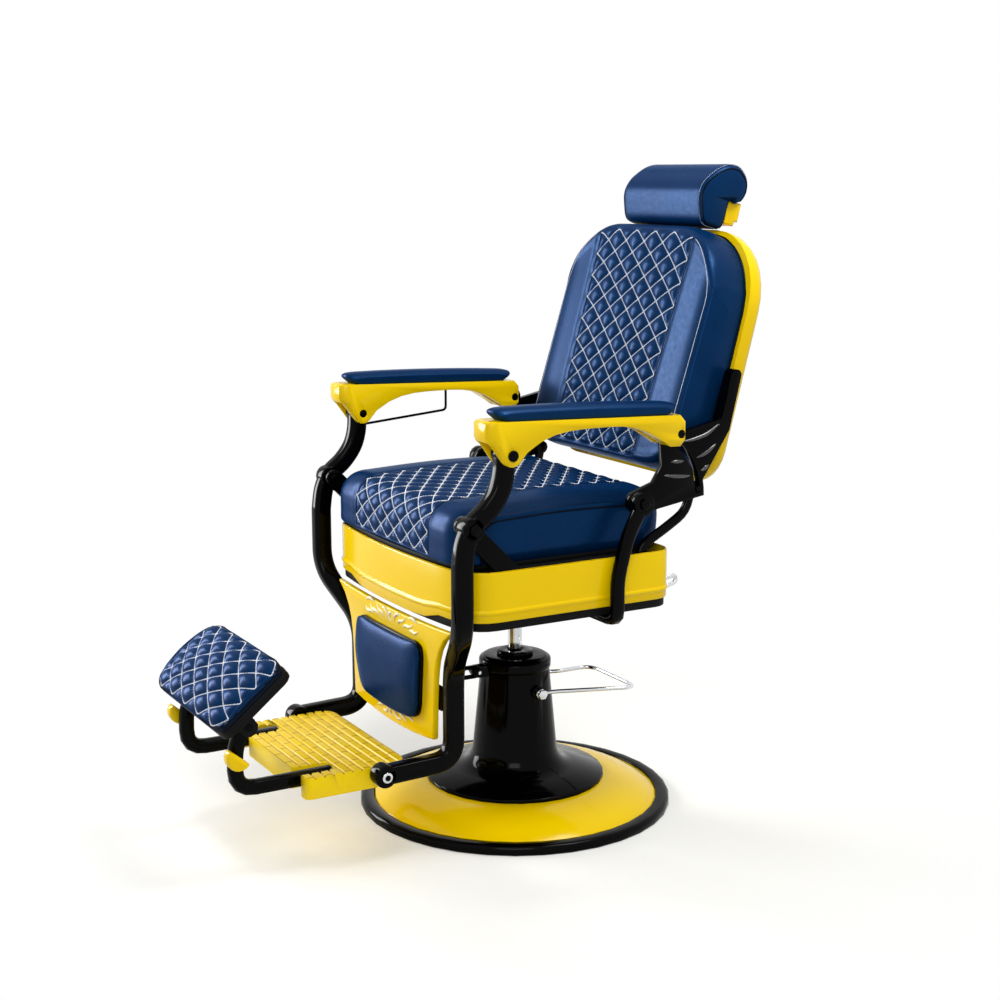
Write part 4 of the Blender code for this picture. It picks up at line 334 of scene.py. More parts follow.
def make_board(name, colour):
    """Painted plywood under stapled lining cloth: flat black with a fine weave."""
    made, tree, shader, place = new_material(name)
    weave = add_node(
        tree, "ShaderNodeTexVoronoi", {"Vector": place, "Scale": cells_per_metre(1.6)}, distance="CHEBYCHEV"
    )
    tone = add_node(
        tree,
        "ShaderNodeMix",
        {0: weave.outputs["Distance"], 6: linear(colour), 7: linear("0C0C0D")},
        data_type="RGBA",
    )
    bump = add_node(
        tree, "ShaderNodeBump", {"Strength": 0.25, "Distance": 0.0004, "Height": weave.outputs["Distance"]}
    )
    tree.links.new(tone.outputs[2], shader.inputs["Base Color"])
    tree.links.new(bump.outputs["Normal"], shader.inputs["Normal"])
    shader.inputs["Roughness"].default_value = 0.6
    shader.inputs["Specular IOR Level"].default_value = 0.1
    return made


def make_tread(name, colour, shade):
    """Moulded tread in glossy enamel: long bricks on its upper face, with the fine gaps between them painted
    darker as shade in the grooves.
    """
    made, tree, shader, place = new_material(name)
    turned = add_node(tree, "ShaderNodeMapping", {"Vector": place, "Location": (0.0, 0.525, 0.0)})
    bricks = add_node(
        tree,
        "ShaderNodeTexBrick",
        {
            "Vector": turned.outputs["Vector"],
            "Scale": 1.0,
            "Mortar Size": 0.0014,
            "Mortar Smooth": 0.3,
            "Brick Width": 0.048,
            "Row Height": 0.01818,
        },
    )
    surface = add_node(tree, "ShaderNodeTexCoord")
    facing = add_node(tree, "ShaderNodeSeparateXYZ", {"Vector": surface.outputs["Normal"]})
    upper = add_node(tree, "ShaderNodeMath", {0: facing.outputs["Z"], 1: 0.6}, operation="GREATER_THAN")
    shaded_gaps = add_node(
        tree, "ShaderNodeMath", {0: bricks.outputs["Fac"], 1: upper.outputs["Value"]}, operation="MULTIPLY"
    )
    drift = add_node(
        tree, "ShaderNodeTexNoise", {"Vector": place, "Scale": cells_per_metre(60), "Detail": 3.0}
    )
    # The gaps take the darker tone: painted shade in the grooves between the bricks.
    tone = add_node(
        tree,
        "ShaderNodeMix",
        {0: shaded_gaps.outputs["Value"], 6: linear(colour), 7: linear(shade)},
        data_type="RGBA",
    )
    dull = add_node(
        tree, "ShaderNodeMapRange", {"Value": drift.outputs["Fac"], "To Min": 0.34, "To Max": 0.46}
    )
    bump = add_node(
        tree,
        "ShaderNodeBump",
        {"Strength": 0.6, "Distance": 0.0015, "Height": shaded_gaps.outputs["Value"]},
        invert=True,
    )
    tree.links.new(tone.outputs[2], shader.inputs["Base Color"])
    tree.links.new(dull.outputs["Result"], shader.inputs["Roughness"])
    tree.links.new(bump.outputs["Normal"], shader.inputs["Normal"])
    shader.inputs["Specular IOR Level"].default_value = 0.2
    return made


finishes = {}


def finish(name):
    """One of the chair's materials, made when it is first asked for."""
    if name not in finishes:
        soft, hard = leather_settings(), finish_settings()
        recipes = {
            "navy_leather": lambda: make_leather("navy_leather", soft.colour, soft.shade),
            "piping_leather": lambda: make_leather("piping_leather", soft.piping, "05070F"),
            "yellow_enamel": lambda: make_enamel("yellow_enamel", hard.yellow, "FACE00", 0.14, 0.14),
            "black_enamel": lambda: make_enamel("black_enamel", hard.black, "030303", 0.11, 0.06),
            # A lighter, glossier copy of the black enamel for the ribs: painted highlight along them.
            "rib_highlight_enamel": lambda: make_enamel("rib_highlight_enamel", "101011", "1C1C1E", 0.22, 0.9),
            "cream_enamel": lambda: make_enamel("cream_enamel", hard.ornament, "FFF0B8", 0.35, 0.3),
            # The tread's darker tone is painted shade for its grooves.
            "yellow_tread": lambda: make_tread("yellow_tread", hard.yellow, "A87C00"),
            "chrome_plate": lambda: make_chrome("chrome_plate", hard.chrome),
            "turned_steel": lambda: make_steel("turned_steel", "9A9DA2"),
            "sewing_thread": lambda: make_thread("sewing_thread", soft.thread),
            "lined_board": lambda: make_board("lined_board", "050506"),
        }
        finishes[name] = recipes[name]()
    return finishes[name]


SLOT_FINISHES = {
    "yellow_enamel": "yellow_enamel",
    "yellow_moulding": "yellow_enamel",
    "black_enamel": "black_enamel",
    "black_moulding": "black_enamel",
    "chrome": "chrome_plate",
    "bare_steel": "turned_steel",
    "navy_leather": "navy_leather",
    "black_board": "lined_board",
}
NODE_FINISHES = {"foot_platform": "yellow_tread"}


# Making pieces
def deselect():
    """Leaves edit mode with nothing selected."""
    if bpy.context.object and bpy.context.object.mode != "OBJECT":
        bpy.ops.object.mode_set(mode="OBJECT")
    bpy.ops.object.select_all(action="DESELECT")


def raw_mesh(name, points, faces):
    """A mesh from points and faces, linked to the scene with its normals outward."""
    mesh = bpy.data.meshes.new(name)
    mesh.from_pydata([tuple(point) for point in points], [], faces)
    shape = bmesh.new()
    shape.from_mesh(mesh)
    bmesh.ops.remove_doubles(shape, verts=shape.verts, dist=0.00002)
    bmesh.ops.recalc_face_normals(shape, faces=shape.faces)
    shape.to_mesh(mesh)
    shape.free()
    mesh.shade_smooth()
    piece = bpy.data.objects.new(name, mesh)
    bpy.context.scene.collection.objects.link(piece)
    return piece


def mesh_piece(name, points, faces, look, body):
    """A piece from points and faces that rides on a body."""
    piece = raw_mesh(name, points, faces)
    piece.data.materials.append(finish(look))
    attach(piece, body)
    return piece


def ring_faces(count, size, base=0):
    """Faces of a skin over rings of points, with both ends closed."""
    faces = []
    for low in range(base, base + (count - 1) * size, size):
        for i in range(size):
            j = (i + 1) % size
            faces.append((low + i, low + j, low + size + j, low + size + i))
    last = base + (count - 1) * size
    return [*faces, tuple(range(base, base + size)), tuple(range(last, last + size))]


def boss(place, radius, height, sides, rim, segments, turn=(0, 0, 0)):
    """A short cylinder with eased rims."""
    deselect()
    bpy.ops.mesh.primitive_cylinder_add(
        vertices=sides, radius=radius, depth=height, location=place, rotation=turn
    )
    made = bpy.context.object
    bevel = made.modifiers.new("rim", "BEVEL")
    bevel.width = rim
    bevel.segments = segments
    bevel.angle_limit = math.radians(60)
    bpy.ops.object.modifier_apply(modifier=bevel.name)
    return made


def settle(piece, look, body, slot):
    """Applies the place of a piece made with operators, and hands it to its body."""
    deselect()
    piece.select_set(True)
    bpy.context.view_layer.objects.active = piece
    bpy.ops.object.transform_apply(location=True, rotation=True, scale=True)
    piece.data.materials.clear()
    piece.data.materials.append(finish(look))
    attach(piece, body)
    return piece


def smooth_run(keys, steps, closed=False):
    """Points on a smooth curve through key points, with steps between each pair."""
    keys = np.asarray(keys, float)
    count = len(keys)
    spans = count if closed else count - 1
    steps = [steps] * spans if isinstance(steps, int) else steps
    made = []
    for span in range(spans):
        if closed:
            a, b, c, d = (keys[(span + shift) % count] for shift in (-1, 0, 1, 2))
        else:
            b, c = keys[span], keys[span + 1]
            a = keys[span - 1] if span else 2 * b - c
            d = keys[span + 2] if span + 2 < count else 2 * c - b
        for step in range(steps[span]):
            t = step / steps[span]
            made.append(
                0.5
                * (
                    2 * b
                    + (c - a) * t
                    + (2 * a - 5 * b + 4 * c - d) * t**2
                    + (3 * b - a - 3 * c + d) * t**3
                )
            )
    if not closed:
        made.append(keys[-1])
    return np.array(made)


def tube(name, runs, radius, look, body, slot, closed=True, sides=8, taper=None):
    """Round cord along one or more runs of points, as one piece, thinner where a taper says so."""
    curve = bpy.data.curves.new(name, "CURVE")
    curve.dimensions = "3D"
    curve.bevel_depth = radius
    curve.bevel_resolution = max(sides // 4 - 1, 0)
    curve.use_fill_caps = not closed
    for run in runs:
        spline = curve.splines.new("POLY")
        spline.points.add(len(run) - 1)
        for i, (point, place) in enumerate(zip(spline.points, run)):
            point.co = (*place, 1.0)
            point.radius = taper(i / (len(run) - 1)) if taper else 1.0
        spline.use_cyclic_u = closed
    piece = bpy.data.objects.new(name, curve)
    bpy.context.scene.collection.objects.link(piece)
    deselect()
    piece.select_set(True)
    bpy.context.view_layer.objects.active = piece
    bpy.ops.object.convert(target="MESH")
    piece = bpy.context.object
    piece.data.shade_smooth()
    return settle(piece, look, body, slot)


# Panel of a cushion without diamonds
PLAIN = (0, 0, 0, 0)


class Quilt:
    """A cushion's upper surface as a grid: columns from side to side, rows over the crown."""

    def __init__(self, columns, profile, ends, place, tuck=0.003, lip=0):
        low_middle, high_middle = ends(0.0)
        middle = (low_middle + high_middle) / 2
        last_row, last_column = len(profile) - 1, len(columns) - 1
        drawn_in = 1 - tuck / columns[-1][0]
        self.keys = np.zeros((last_row + 1, last_column + 1, 3))
        for row, (s, h) in enumerate(profile):
            crown = profile[min(max(row, lip), last_row - lip)][1]
            for column, (x, share) in enumerate(columns):
                low, high = ends(x)
                where = low + (s - low_middle) * (high - low) / (high_middle - low_middle)
                if row in (0, last_row) or column in (0, last_column):
                    self.keys[row, column] = place(x * drawn_in, middle + (where - middle) * drawn_in, 0.0)
                else:
                    self.keys[row, column] = place(x, where, min(h, crown * share))

    def refine(self, panel, steps, plain_steps):
        """Grid points with more steps inside the panel, and the panel's range in that grid."""
        def counts(total, first, last):
            return [steps if first <= i < last else plain_steps for i in range(total - 1)]

        row_counts = counts(self.keys.shape[0], panel[2], panel[3])
        column_counts = counts(self.keys.shape[1], panel[0], panel[1])
        rows = smooth_run(self.keys, row_counts)
        grid = smooth_run(np.swapaxes(rows, 0, 1), column_counts)
        self.grid = np.swapaxes(grid, 0, 1)
        self.row_index = self.spread(row_counts)
        self.column_index = self.spread(column_counts)
        return self

    @staticmethod
    def spread(counts):
        """Key index of every refined line, as a fraction."""
        places = [i + step / count for i, count in enumerate(counts) for step in range(count)]
        return np.array([*places, len(counts)])

    def normals(self, outward):
        """Unit normals of the grid, on its outward side."""
        across = np.gradient(self.grid, axis=1)
        along = np.gradient(self.grid, axis=0)
        normal = np.cross(across, along)
        normal /= np.linalg.norm(normal, axis=2, keepdims=True) + 1e-12
        middle = normal[normal.shape[0] // 2, normal.shape[1] // 2]
        return normal if np.dot(middle, outward) > 0 else -normal


def quilted(name, quilt, panel, outward, body, node, swell):
    """A padded cover with diamonds sewn in its panel, and the runs of its seams."""
    soft = leather_settings()
    steps = soft.refine
    quilt.refine(panel, steps, 4)
    rows, columns = np.meshgrid(quilt.row_index, quilt.column_index, indexing="ij")
    inside = (columns >= panel[0]) & (columns <= panel[1]) & (rows >= panel[2]) & (rows <= panel[3])
    first, second = (rows + columns) / 2, (rows - columns) / 2
    puff = np.abs(np.sin(math.pi * first) * np.sin(math.pi * second)) ** 0.5
    rim = np.minimum.reduce([columns - panel[0], panel[1] - columns, rows - panel[2], panel[3] - rows])
    rim = np.clip(rim / 0.55, 0.0, 1.0)
    lift = np.where(inside, swell * (2 * puff * np.sqrt(rim) - 1), 0.0)
    normal = quilt.normals(outward)
    edge = np.ones_like(lift)
    edge[0, :] = edge[-1, :] = edge[:, 0] = edge[:, -1] = 0.0
    grid = quilt.grid + normal * (lift * edge)[..., None]
    tall, wide = lift.shape
    points = grid.reshape(-1, 3)
    faces = []
    for row in range(tall - 1):
        for column in range(wide - 1):
            a = row * wide + column
            b, c, d = a + 1, a + wide + 1, a + wide
            if inside[row, column] and inside[row + 1, column + 1]:
                total = round((rows[row, column] + columns[row, column]) * steps)
                slant = round((rows[row, column] - columns[row, column]) * steps)
                if slant % (2 * steps) == 0:
                    faces += [(a, b, c), (a, c, d)]
                    continue
                if (total + 1) % (2 * steps) == 0:
                    faces += [(a, b, d), (b, c, d)]
                    continue
            faces.append((a, b, c, d))
    border = [*range(wide)]
    border += [row * wide + wide - 1 for row in range(1, tall)]
    border += [(tall - 1) * wide + column for column in range(wide - 2, -1, -1)]
    border += [row * wide for row in range(tall - 2, 0, -1)]
    faces.append(tuple(border))
    cover = mesh_piece(name, points, faces, "navy_leather", body)
    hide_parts(node)
    return cover, grid, seam_runs(quilt, panel, grid, normal, steps)


def nearest(places, key):
    """Index of the refined line that lies on a key line."""
    return int(np.argmin(np.abs(places - key)))


def key_run(quilt, surface, rows, columns):
    """Points along one key line of a cover: a row or a column is a number, and the other a pair."""
    if isinstance(rows, tuple):
        first, last = (nearest(quilt.row_index, row) for row in rows)
        return surface[first : last + 1, nearest(quilt.column_index, columns)]
    first, last = (nearest(quilt.column_index, column) for column in columns)
    return surface[nearest(quilt.row_index, rows), first : last + 1]


def foot_loop(surface, lift):
    """The closed run round a cover's foot, lifted off its base."""
    border = [*surface[0, :-1], *surface[:-1, -1], *surface[-1, :0:-1], *surface[:0:-1, 0]]
    run = [border[0]]
    for point in border[1:]:
        if np.linalg.norm(point - run[-1]) > 0.002 and np.linalg.norm(point - run[0]) > 0.002:
            run.append(point)
    return [point + lift for point in run]


def drape(cover, places, outward):
    """Points of a cover straight under places that stand off it."""
    bpy.context.view_layer.update()
    outward = Vector(outward)
    hits = [cover.ray_cast(Vector(place) + outward * 0.3, -outward) for place in places]
    return [np.array(hit[1]) for hit in hits if hit[0]]


def seam_runs(quilt, panel, grid, normal, steps):
    """Every diagonal seam of the panel as (points, normals)."""
    row_start, row_end = (nearest(quilt.row_index, row) for row in panel[2:])
    column_start, column_end = (nearest(quilt.column_index, column) for column in panel[:2])
    runs = []
    tall, wide = row_end - row_start, column_end - column_start
    shift = (panel[2] + panel[0]) % 2
    for direction in (1, -1):
        for start in range(-tall - 2 * steps, wide + tall + 2 * steps):
            if (start + shift * steps) % (2 * steps):
                continue
            places = []
            for step in range(tall + 1):
                column = start + direction * step
                if 0 <= column <= wide:
                    places.append((row_start + step, column_start + column))
            if len(places) > 2:
                index = tuple(np.array(places).T)
                runs.append((grid[index], normal[index]))
    return runs


def stitched(name, runs, body, radius=None):
    """Short lengths of thread along seams, modelled as one rounded stitch that is copied."""
    soft = leather_settings()
    radius = radius or soft.thread_radius
    sides = 6
    ring = [(math.cos(a), math.sin(a)) for a in (2 * math.pi * i / sides for i in range(sides))]
    stations = ((0.0, 0.35, -0.4), (0.18, 1.0, 0.6), (0.82, 1.0, 0.6), (1.0, 0.35, -0.4))
    points, faces = [], []
    for places, normals in runs:
        places, normals = np.asarray(places), np.asarray(normals)
        reach = np.concatenate([[0.0], np.cumsum(np.linalg.norm(np.diff(places, axis=0), axis=1))])
        count = int(reach[-1] // soft.stitch_pitch)
        if not count:
            continue
        pitch = reach[-1] / count

        def at(distance, values):
            return np.array([np.interp(distance, reach, values[:, axis]) for axis in range(3)])

        for i in range(count):
            start = i * pitch + (pitch - soft.stitch_length) / 2
            up = at(start + soft.stitch_length / 2, normals)
            up /= np.linalg.norm(up)
            ends = [at(start, places), at(start + soft.stitch_length, places)]
            heading = ends[1] - ends[0]
            heading /= np.linalg.norm(heading)
            side = np.cross(heading, up)
            side /= np.linalg.norm(side)
            base = len(points)
            for along, size, rise in stations:
                middle = at(start + soft.stitch_length * along, places) + up * radius * rise
                points += [middle + radius * size * (side * c + up * s) for c, s in ring]
            faces += ring_faces(len(stations), len(ring), base)
    return mesh_piece(name, points, faces, "sewing_thread", body)


def pad_columns(half_width, panel_half_width, panel_steps, roll, drop, rim_steps=4):
    """Column places of a cushion: even over the panel, closer over the rolled sides."""
    panel = [panel_half_width * (2 * i / panel_steps - 1) for i in range(panel_steps + 1)]
    rim = [
        panel_half_width + (half_width - panel_half_width) * math.sin(math.pi / 2 * i / rim_steps)
        for i in range(1, rim_steps + 1)
    ]
    places = [-x for x in reversed(rim)] + panel + rim

    def share(x):
        over = max(0.0, abs(x) - (half_width - roll)) / roll
        return 1 - drop * over**2

    return [(-half_width, 0.0)] + [(x, share(x)) for x in places] + [(half_width, 0.0)]


def rounded_end(x, half_width, radius):
    """How far an end draws back at x so that its corners are round."""
    over = max(0.0, abs(x) - (half_width - radius))
    return radius - math.sqrt(max(radius**2 - over**2, 0.0))


def swelling(along):
    """Thickness of a stroke: pointed ends and a full middle."""
    return 0.15 + 0.85 * math.sin(math.pi * along) ** 0.7


# Pivots of the linkage as (Y, Z), the quadrant slot's reach from its pivot, and the brackets' outer faces
LUG = (-0.197, 0.758)
KNUCKLE = (-0.263, 0.632)
PLATFORM = (-0.386, 0.176)
BACK_PIVOT = (0.091, 0.643)
QUADRANT = (0.1215, 0.1425)
BRACKET_FACE = 0.2928

# Frames of the tilted pieces
BACK_TILT = math.radians(15.0)
back_up = np.array((0, math.sin(BACK_TILT), math.cos(BACK_TILT)))
back_out = np.array((0, -math.cos(BACK_TILT), math.sin(BACK_TILT)))
back_origin = np.array((0, 0.262, 0.655))
FIT = 0.0003


def back_place(x, up, out):
    """A point at a height along the back and a distance out from its shell."""
    return back_origin + np.array((x, 0, 0)) + back_up * up + back_out * out


class CHAIR_OT_seat_cushion(bpy.types.Operator):
    """Seat cushion with a quilted panel that rolls over its front edge"""

    bl_idname = "chair.seat_cushion"
    bl_label = "Seat cushion"

    def execute(self, context):
        half_width, front, rear = 0.260, -0.272, 0.178
        low, thick, roll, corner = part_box("seat_cushion")[0].z, 0.108, 0.050, 0.050
        diamond, across = (0.055, 0.040), 5.5
        rear_top, front_top = rear - 0.030, front + roll
        flat, quarter, drop = rear_top - front_top, roll * math.pi / 2, thick - roll - 0.012
        steps = round((flat + quarter + drop) / (diamond[1] / 2))
        rows = [(rear, 0.0), (rear, 0.5 * thick), (rear - 0.006, 0.76 * thick)]
        for i in range(steps + 1):
            along = (flat + quarter + drop) * i / steps
            if along <= flat:
                rows.append((rear_top - along, thick - 0.006 + 0.006 * math.sin(math.pi * along / flat)))
            elif along <= flat + quarter:
                turn = (along - flat) / roll
                rows.append(
                    (front_top - roll * math.sin(turn), thick - 0.006 - roll * (1 - math.cos(turn)))
                )
            else:
                rows.append((front, thick - 0.006 - roll - (along - flat - quarter)))
        rows.append((front, 0.0))

        def ends(x):
            back = rounded_end(x, half_width, corner)
            return (rear - back, front + back)

        def place(x, y, height):
            return (x, y, low + height)

        columns = pad_columns(half_width, diamond[0] * across / 2, round(2 * across), 0.055, 0.24)
        panel = (5, len(columns) - 6, 3, len(rows) - 2)
        quilt = Quilt(columns, rows, ends, place)
        swell = leather_settings().swell * 0.65
        _, grid, seams = quilted(
            "seat_cushion_cover", quilt, panel, (0, 0, 1), "seat", "seat_cushion", swell
        )
        stitched("seat_stitching", seams, "seat")
        welts = [key_run(quilt, grid, (panel[2], panel[3]), column) for column in panel[:2]]
        tube("seat_panel_welt", welts, 0.0016, "piping_leather", "seat", "navy_leather", closed=False)
        last_row, last_column = len(rows) - 1, len(columns) - 1
        sides = [key_run(quilt, grid, (2, last_row), column) for column in (1, last_column - 1)]
        sides.append(key_run(quilt, grid, 2, (1, last_column - 1)))
        tube("seat_side_welt", sides, 0.0019, "piping_leather", "seat", "navy_leather", closed=False)
        return {"FINISHED"}


class CHAIR_OT_back_cushion(bpy.types.Operator):
    """Back cushion with a quilted panel, a stitched seam and piping round its rear edge"""

    bl_idname = "chair.back_cushion"
    bl_label = "Back cushion"

    def execute(self, context):
        half_width, low, high, margin = 0.257, 0.008, 0.478, 0.008
        top_radius, low_radius = 0.150, 0.070 - margin
        thick_low, thick_top, edge, taper = 0.098, 0.086, 0.016, 0.20
        diamond, across = (0.064, 0.045), 5

        def depth(up):
            share = min(max((up - 0.05) / (high - 0.10), 0.0), 1.0)
            return thick_low + (thick_top - thick_low) * share

        steps = round((high - low - 2 * edge) / (diamond[1] / 2))
        rows = [(low, 0.0), (low - 0.001, 0.45 * thick_low), (low + 0.003, 0.84 * thick_low)]
        for i in range(steps + 1):
            up = low + edge + (high - low - 2 * edge) * i / steps
            rows.append((up, depth(up)))
        rows += [(high - 0.003, 0.84 * thick_top), (high, 0.45 * thick_top), (high, 0.0)]

        def ends(x):
            return (
                margin + rounded_end(x, half_width, low_radius),
                high - rounded_end(x, half_width, top_radius),
            )

        def place(x, up, out):
            drawn_in = taper * (1 - up / high) * (1 - (x / half_width) ** 2)
            return back_place(x * (1 - drawn_in), up, FIT + out)

        inner = pad_columns(half_width, diamond[0] * across / 2, 2 * across, 0.035, 0.10, 4)[2:-2]
        rim = [(half_width - 0.003, 0.84), (half_width, 0.45), (half_width, 0.0)]
        columns = [*((-x, share) for x, share in reversed(rim)), *inner, *rim]
        panel = (6, len(columns) - 7, 3, len(rows) - 4)
        quilt = Quilt(columns, rows, ends, place, lip=3)
        swell = leather_settings().swell
        cover, grid, seams = quilted(
            "back_cushion_cover", quilt, panel, back_out, "back", "back_cushion", swell
        )
        stitched("back_stitching", seams, "back")
        welts = [key_run(quilt, grid, (panel[2], panel[3]), column) for column in panel[:2]]
        tube("back_panel_welt", welts, 0.0017, "piping_leather", "back", "navy_leather", closed=False)
        inset, reach = 0.013, diamond[0] * across / 2
        seams = []
        for sign in (-1, 1):
            line = []
            radius = top_radius - inset
            for step in range(17):
                angle = math.pi / 2 * (1 - step / 16)
                x = half_width - top_radius + radius * math.cos(angle)
                if x > reach:
                    line.append(place(sign * x, high - top_radius + radius * math.sin(angle), 0.0))
            for step in range(1, 9):
                up = high - top_radius + (low + low_radius - high + top_radius) * step / 8
                line.append(place(sign * (half_width - inset), up, 0.0))
            seams.append(drape(cover, line, back_out))
        tube("back_edge_seams", seams, 0.0005, "sewing_thread", "back", "navy_leather", closed=False)
        radius = leather_settings().piping_radius
        piping = foot_loop(grid, back_out * radius * 0.8)
        tube("back_piping", [piping], radius, "piping_leather", "back", "navy_leather")
        return {"FINISHED"}


class CHAIR_OT_headrest(bpy.types.Operator):
    """Rolled headrest that curls over its plate, with piping round both ends"""

    bl_idname = "chair.headrest"
    bl_label = "Headrest"

    def execute(self, context):
        half_width = 0.136
        rear, low, hook = 0.0013, 0.4859, 0.5503
        front = rear + 0.0525
        run = [
            (0.005, -0.048),
            (-0.001, -0.030),
            (0.0, -0.010),
            (0.008, 0.001),
            (0.028, 0.010),
            (0.052, 0.0175),
        ]
        run += [(0.070, 0.0165), (0.085, 0.010), (0.100, -0.002), (0.113, -0.015), (0.123, -0.030)]
        run += [(0.128, -0.045), (0.127, -0.066), (0.110, -0.087), (0.088, -0.091)]
        outline = [(low + up, front + out) for up, out in run]
        outline += [(hook + 0.004, front - 0.083), (hook, front - 0.070), (hook, rear)]
        loop = smooth_run(outline, 4, closed=True)
        stations = (
            (-1.0, 0.30),
            (-0.985, 0.14),
            (-0.955, 0.06),
            (-0.92, 0.018),
            (-0.88, 0.0),
            (-0.4, 0.0),
            (0.0, 0.0),
        )
        stations += tuple((-place, draw) for place, draw in reversed(stations[:-1]))
        middle = np.array(((low + hook) / 2, rear + 0.020))
        rings = []
        for along, draw in smooth_run(stations, 4):
            ring = loop + (middle - loop) * max(draw, 0.0)
            rings.append([back_place(half_width * along, up, out) for up, out in ring])
        points = [point for ring in rings for point in ring]
        faces = ring_faces(len(rings), len(loop))
        cover = mesh_piece("headrest_cover", points, faces, "navy_leather", "headrest")
        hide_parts("headrest_cushion")
        piping, seams = [], []
        for sign in (-1, 1):
            drawn = loop + (middle - loop) * 0.10
            eased = loop + (middle - loop) * 0.014
            piping.append([back_place(sign * half_width * 0.975, up, out) for up, out in drawn])
            seams.append([back_place(sign * half_width * 0.925, up, out) for up, out in eased])
        tube("headrest_piping", piping, 0.0018, "piping_leather", "headrest", "navy_leather")
        tube("headrest_seams", seams, 0.0004, "sewing_thread", "headrest", "navy_leather")
        return {"FINISHED"}


class CHAIR_OT_calf_pad(bpy.types.Operator):
    """Domed calf pad with piping round its edge"""

    bl_idname = "chair.calf_pad"
    bl_label = "Calf pad"

    def execute(self, context):
        low, high, half_high, half_low, crown = 0.244, 0.388, 0.135, 0.122, 0.018
        face, bow_high, bow_low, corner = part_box("calf_pad")[1].y, 0.005, 0.009, 0.026

        def half_at(height):
            return half_low + (half_high - half_low) * (height - low) / (high - low)

        def ends(x):
            back = rounded_end(x, half_high, corner)
            return (low + back, high - back)

        def place(x, height, out):
            bow = bow_low + (bow_high - bow_low) * (height - low) / (high - low)
            drop = bow * (1 - (x / half_high) ** 2)
            return (x * half_at(height) / half_high, face - out, height - drop)

        rows = [(low, 0.0), (low, 0.40 * crown)]
        for step in range(7):
            along = step / 6
            swell = 0.62 + 0.38 * math.sin(math.pi * along)
            rows.append((low + 0.010 + (high - low - 0.020) * along, crown * swell))
        rows += [(high, 0.40 * crown), (high, 0.0)]
        columns = pad_columns(half_high, half_high * 0.6, 4, 0.060, 0.5, 3)
        quilt = Quilt(columns, rows, ends, place, tuck=0.002)
        _, grid, _ = quilted(
            "calf_pad_cover", quilt, PLAIN, (0, -1, 0), "leg_rest", "calf_pad", 0.0
        )
        radius = leather_settings().piping_radius * 0.7
        rim = foot_loop(grid, np.array((0.0, -radius * 0.6, 0.0)))
        tube("calf_pad_piping", [rim], radius, "piping_leather", "leg_rest", "navy_leather")
        self.add_board(grid)
        return {"FINISHED"}

    @staticmethod
    def add_board(grid):
        """The black board behind the pad, a little larger all round."""
        margin, ease, chamfer = 0.004, 0.002, 0.0015
        front, back = (corner.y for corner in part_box("calf_pad_board"))
        loop = np.array(foot_loop(grid, np.zeros(3)))
        middle = loop.mean(axis=0)
        outward = loop - middle
        outward /= np.linalg.norm(outward, axis=1, keepdims=True)
        loop = loop + outward * margin
        count = len(loop)
        points = [(x, y, z) for y in (back, front + chamfer, front) for x, _, z in loop]
        for i in range(count):
            x, y, z = points[2 * count + i]
            points[2 * count + i] = (x - outward[i][0] * ease, y, z - outward[i][2] * ease)
        faces = ring_faces(3, count)
        made = mesh_piece("calf_pad_frame", points, faces, "black_enamel", "leg_rest")
        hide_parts("calf_pad_board")


class CHAIR_OT_foot_pad(bpy.types.Operator):
    """Quilted foot pad on its tilting board"""

    bl_idname = "chair.foot_pad"
    bl_label = "Foot pad"

    def execute(self, context):
        tilt = math.radians(39.0)
        up_axis = np.array((0, math.cos(tilt), math.sin(tilt)))
        out_axis = np.array((0, -math.sin(tilt), math.cos(tilt)))
        pivot = np.array((0, *joint_places["foot_pad_flip"][1:]))
        base, rise, thick, half_width, half_length = 0.0378, 0.035, 0.034, 0.171, 0.079

        def place(x, up, out):
            return pivot + np.array((x, 0, 0)) + up_axis * (rise + up) + out_axis * (base + out)

        def ends(x):
            back = rounded_end(x, half_width, 0.022)
            return (-half_length + back, half_length - back)

        rows = [(-half_length, 0.0)]
        steps = 8
        for step in range(steps + 1):
            along = step / steps
            swell = 0.40 + 0.60 * math.sin(math.pi * along) ** 0.6
            rows.append((-half_length + 2 * half_length * along, thick * swell))
        rows.append((half_length, 0.0))
        columns = pad_columns(half_width, half_width - 0.004, 10, 0.140, 0.48, 1)
        panel = (2, len(columns) - 3, 1, len(rows) - 2)
        quilt = Quilt(columns, rows, ends, place)
        cover, grid, seams = quilted(
            "foot_pad_cover", quilt, panel, out_axis, "foot_pad", "foot_pad_cushion", 0.0038
        )
        cover.data.materials.append(finish("piping_leather"))
        side, outward = 0.3 * thick, Vector(out_axis)
        for polygon in cover.data.polygons:
            height = (polygon.center - Vector(pivot)).dot(outward) - base
            polygon.material_index = int(0.0 < height < side)
        stitched("foot_pad_stitching", seams, "foot_pad")
        radius = leather_settings().piping_radius
        piping = foot_loop(grid, out_axis * radius * 0.8)
        tube("foot_pad_piping", [piping], radius, "piping_leather", "foot_pad", "navy_leather")
        return {"FINISHED"}


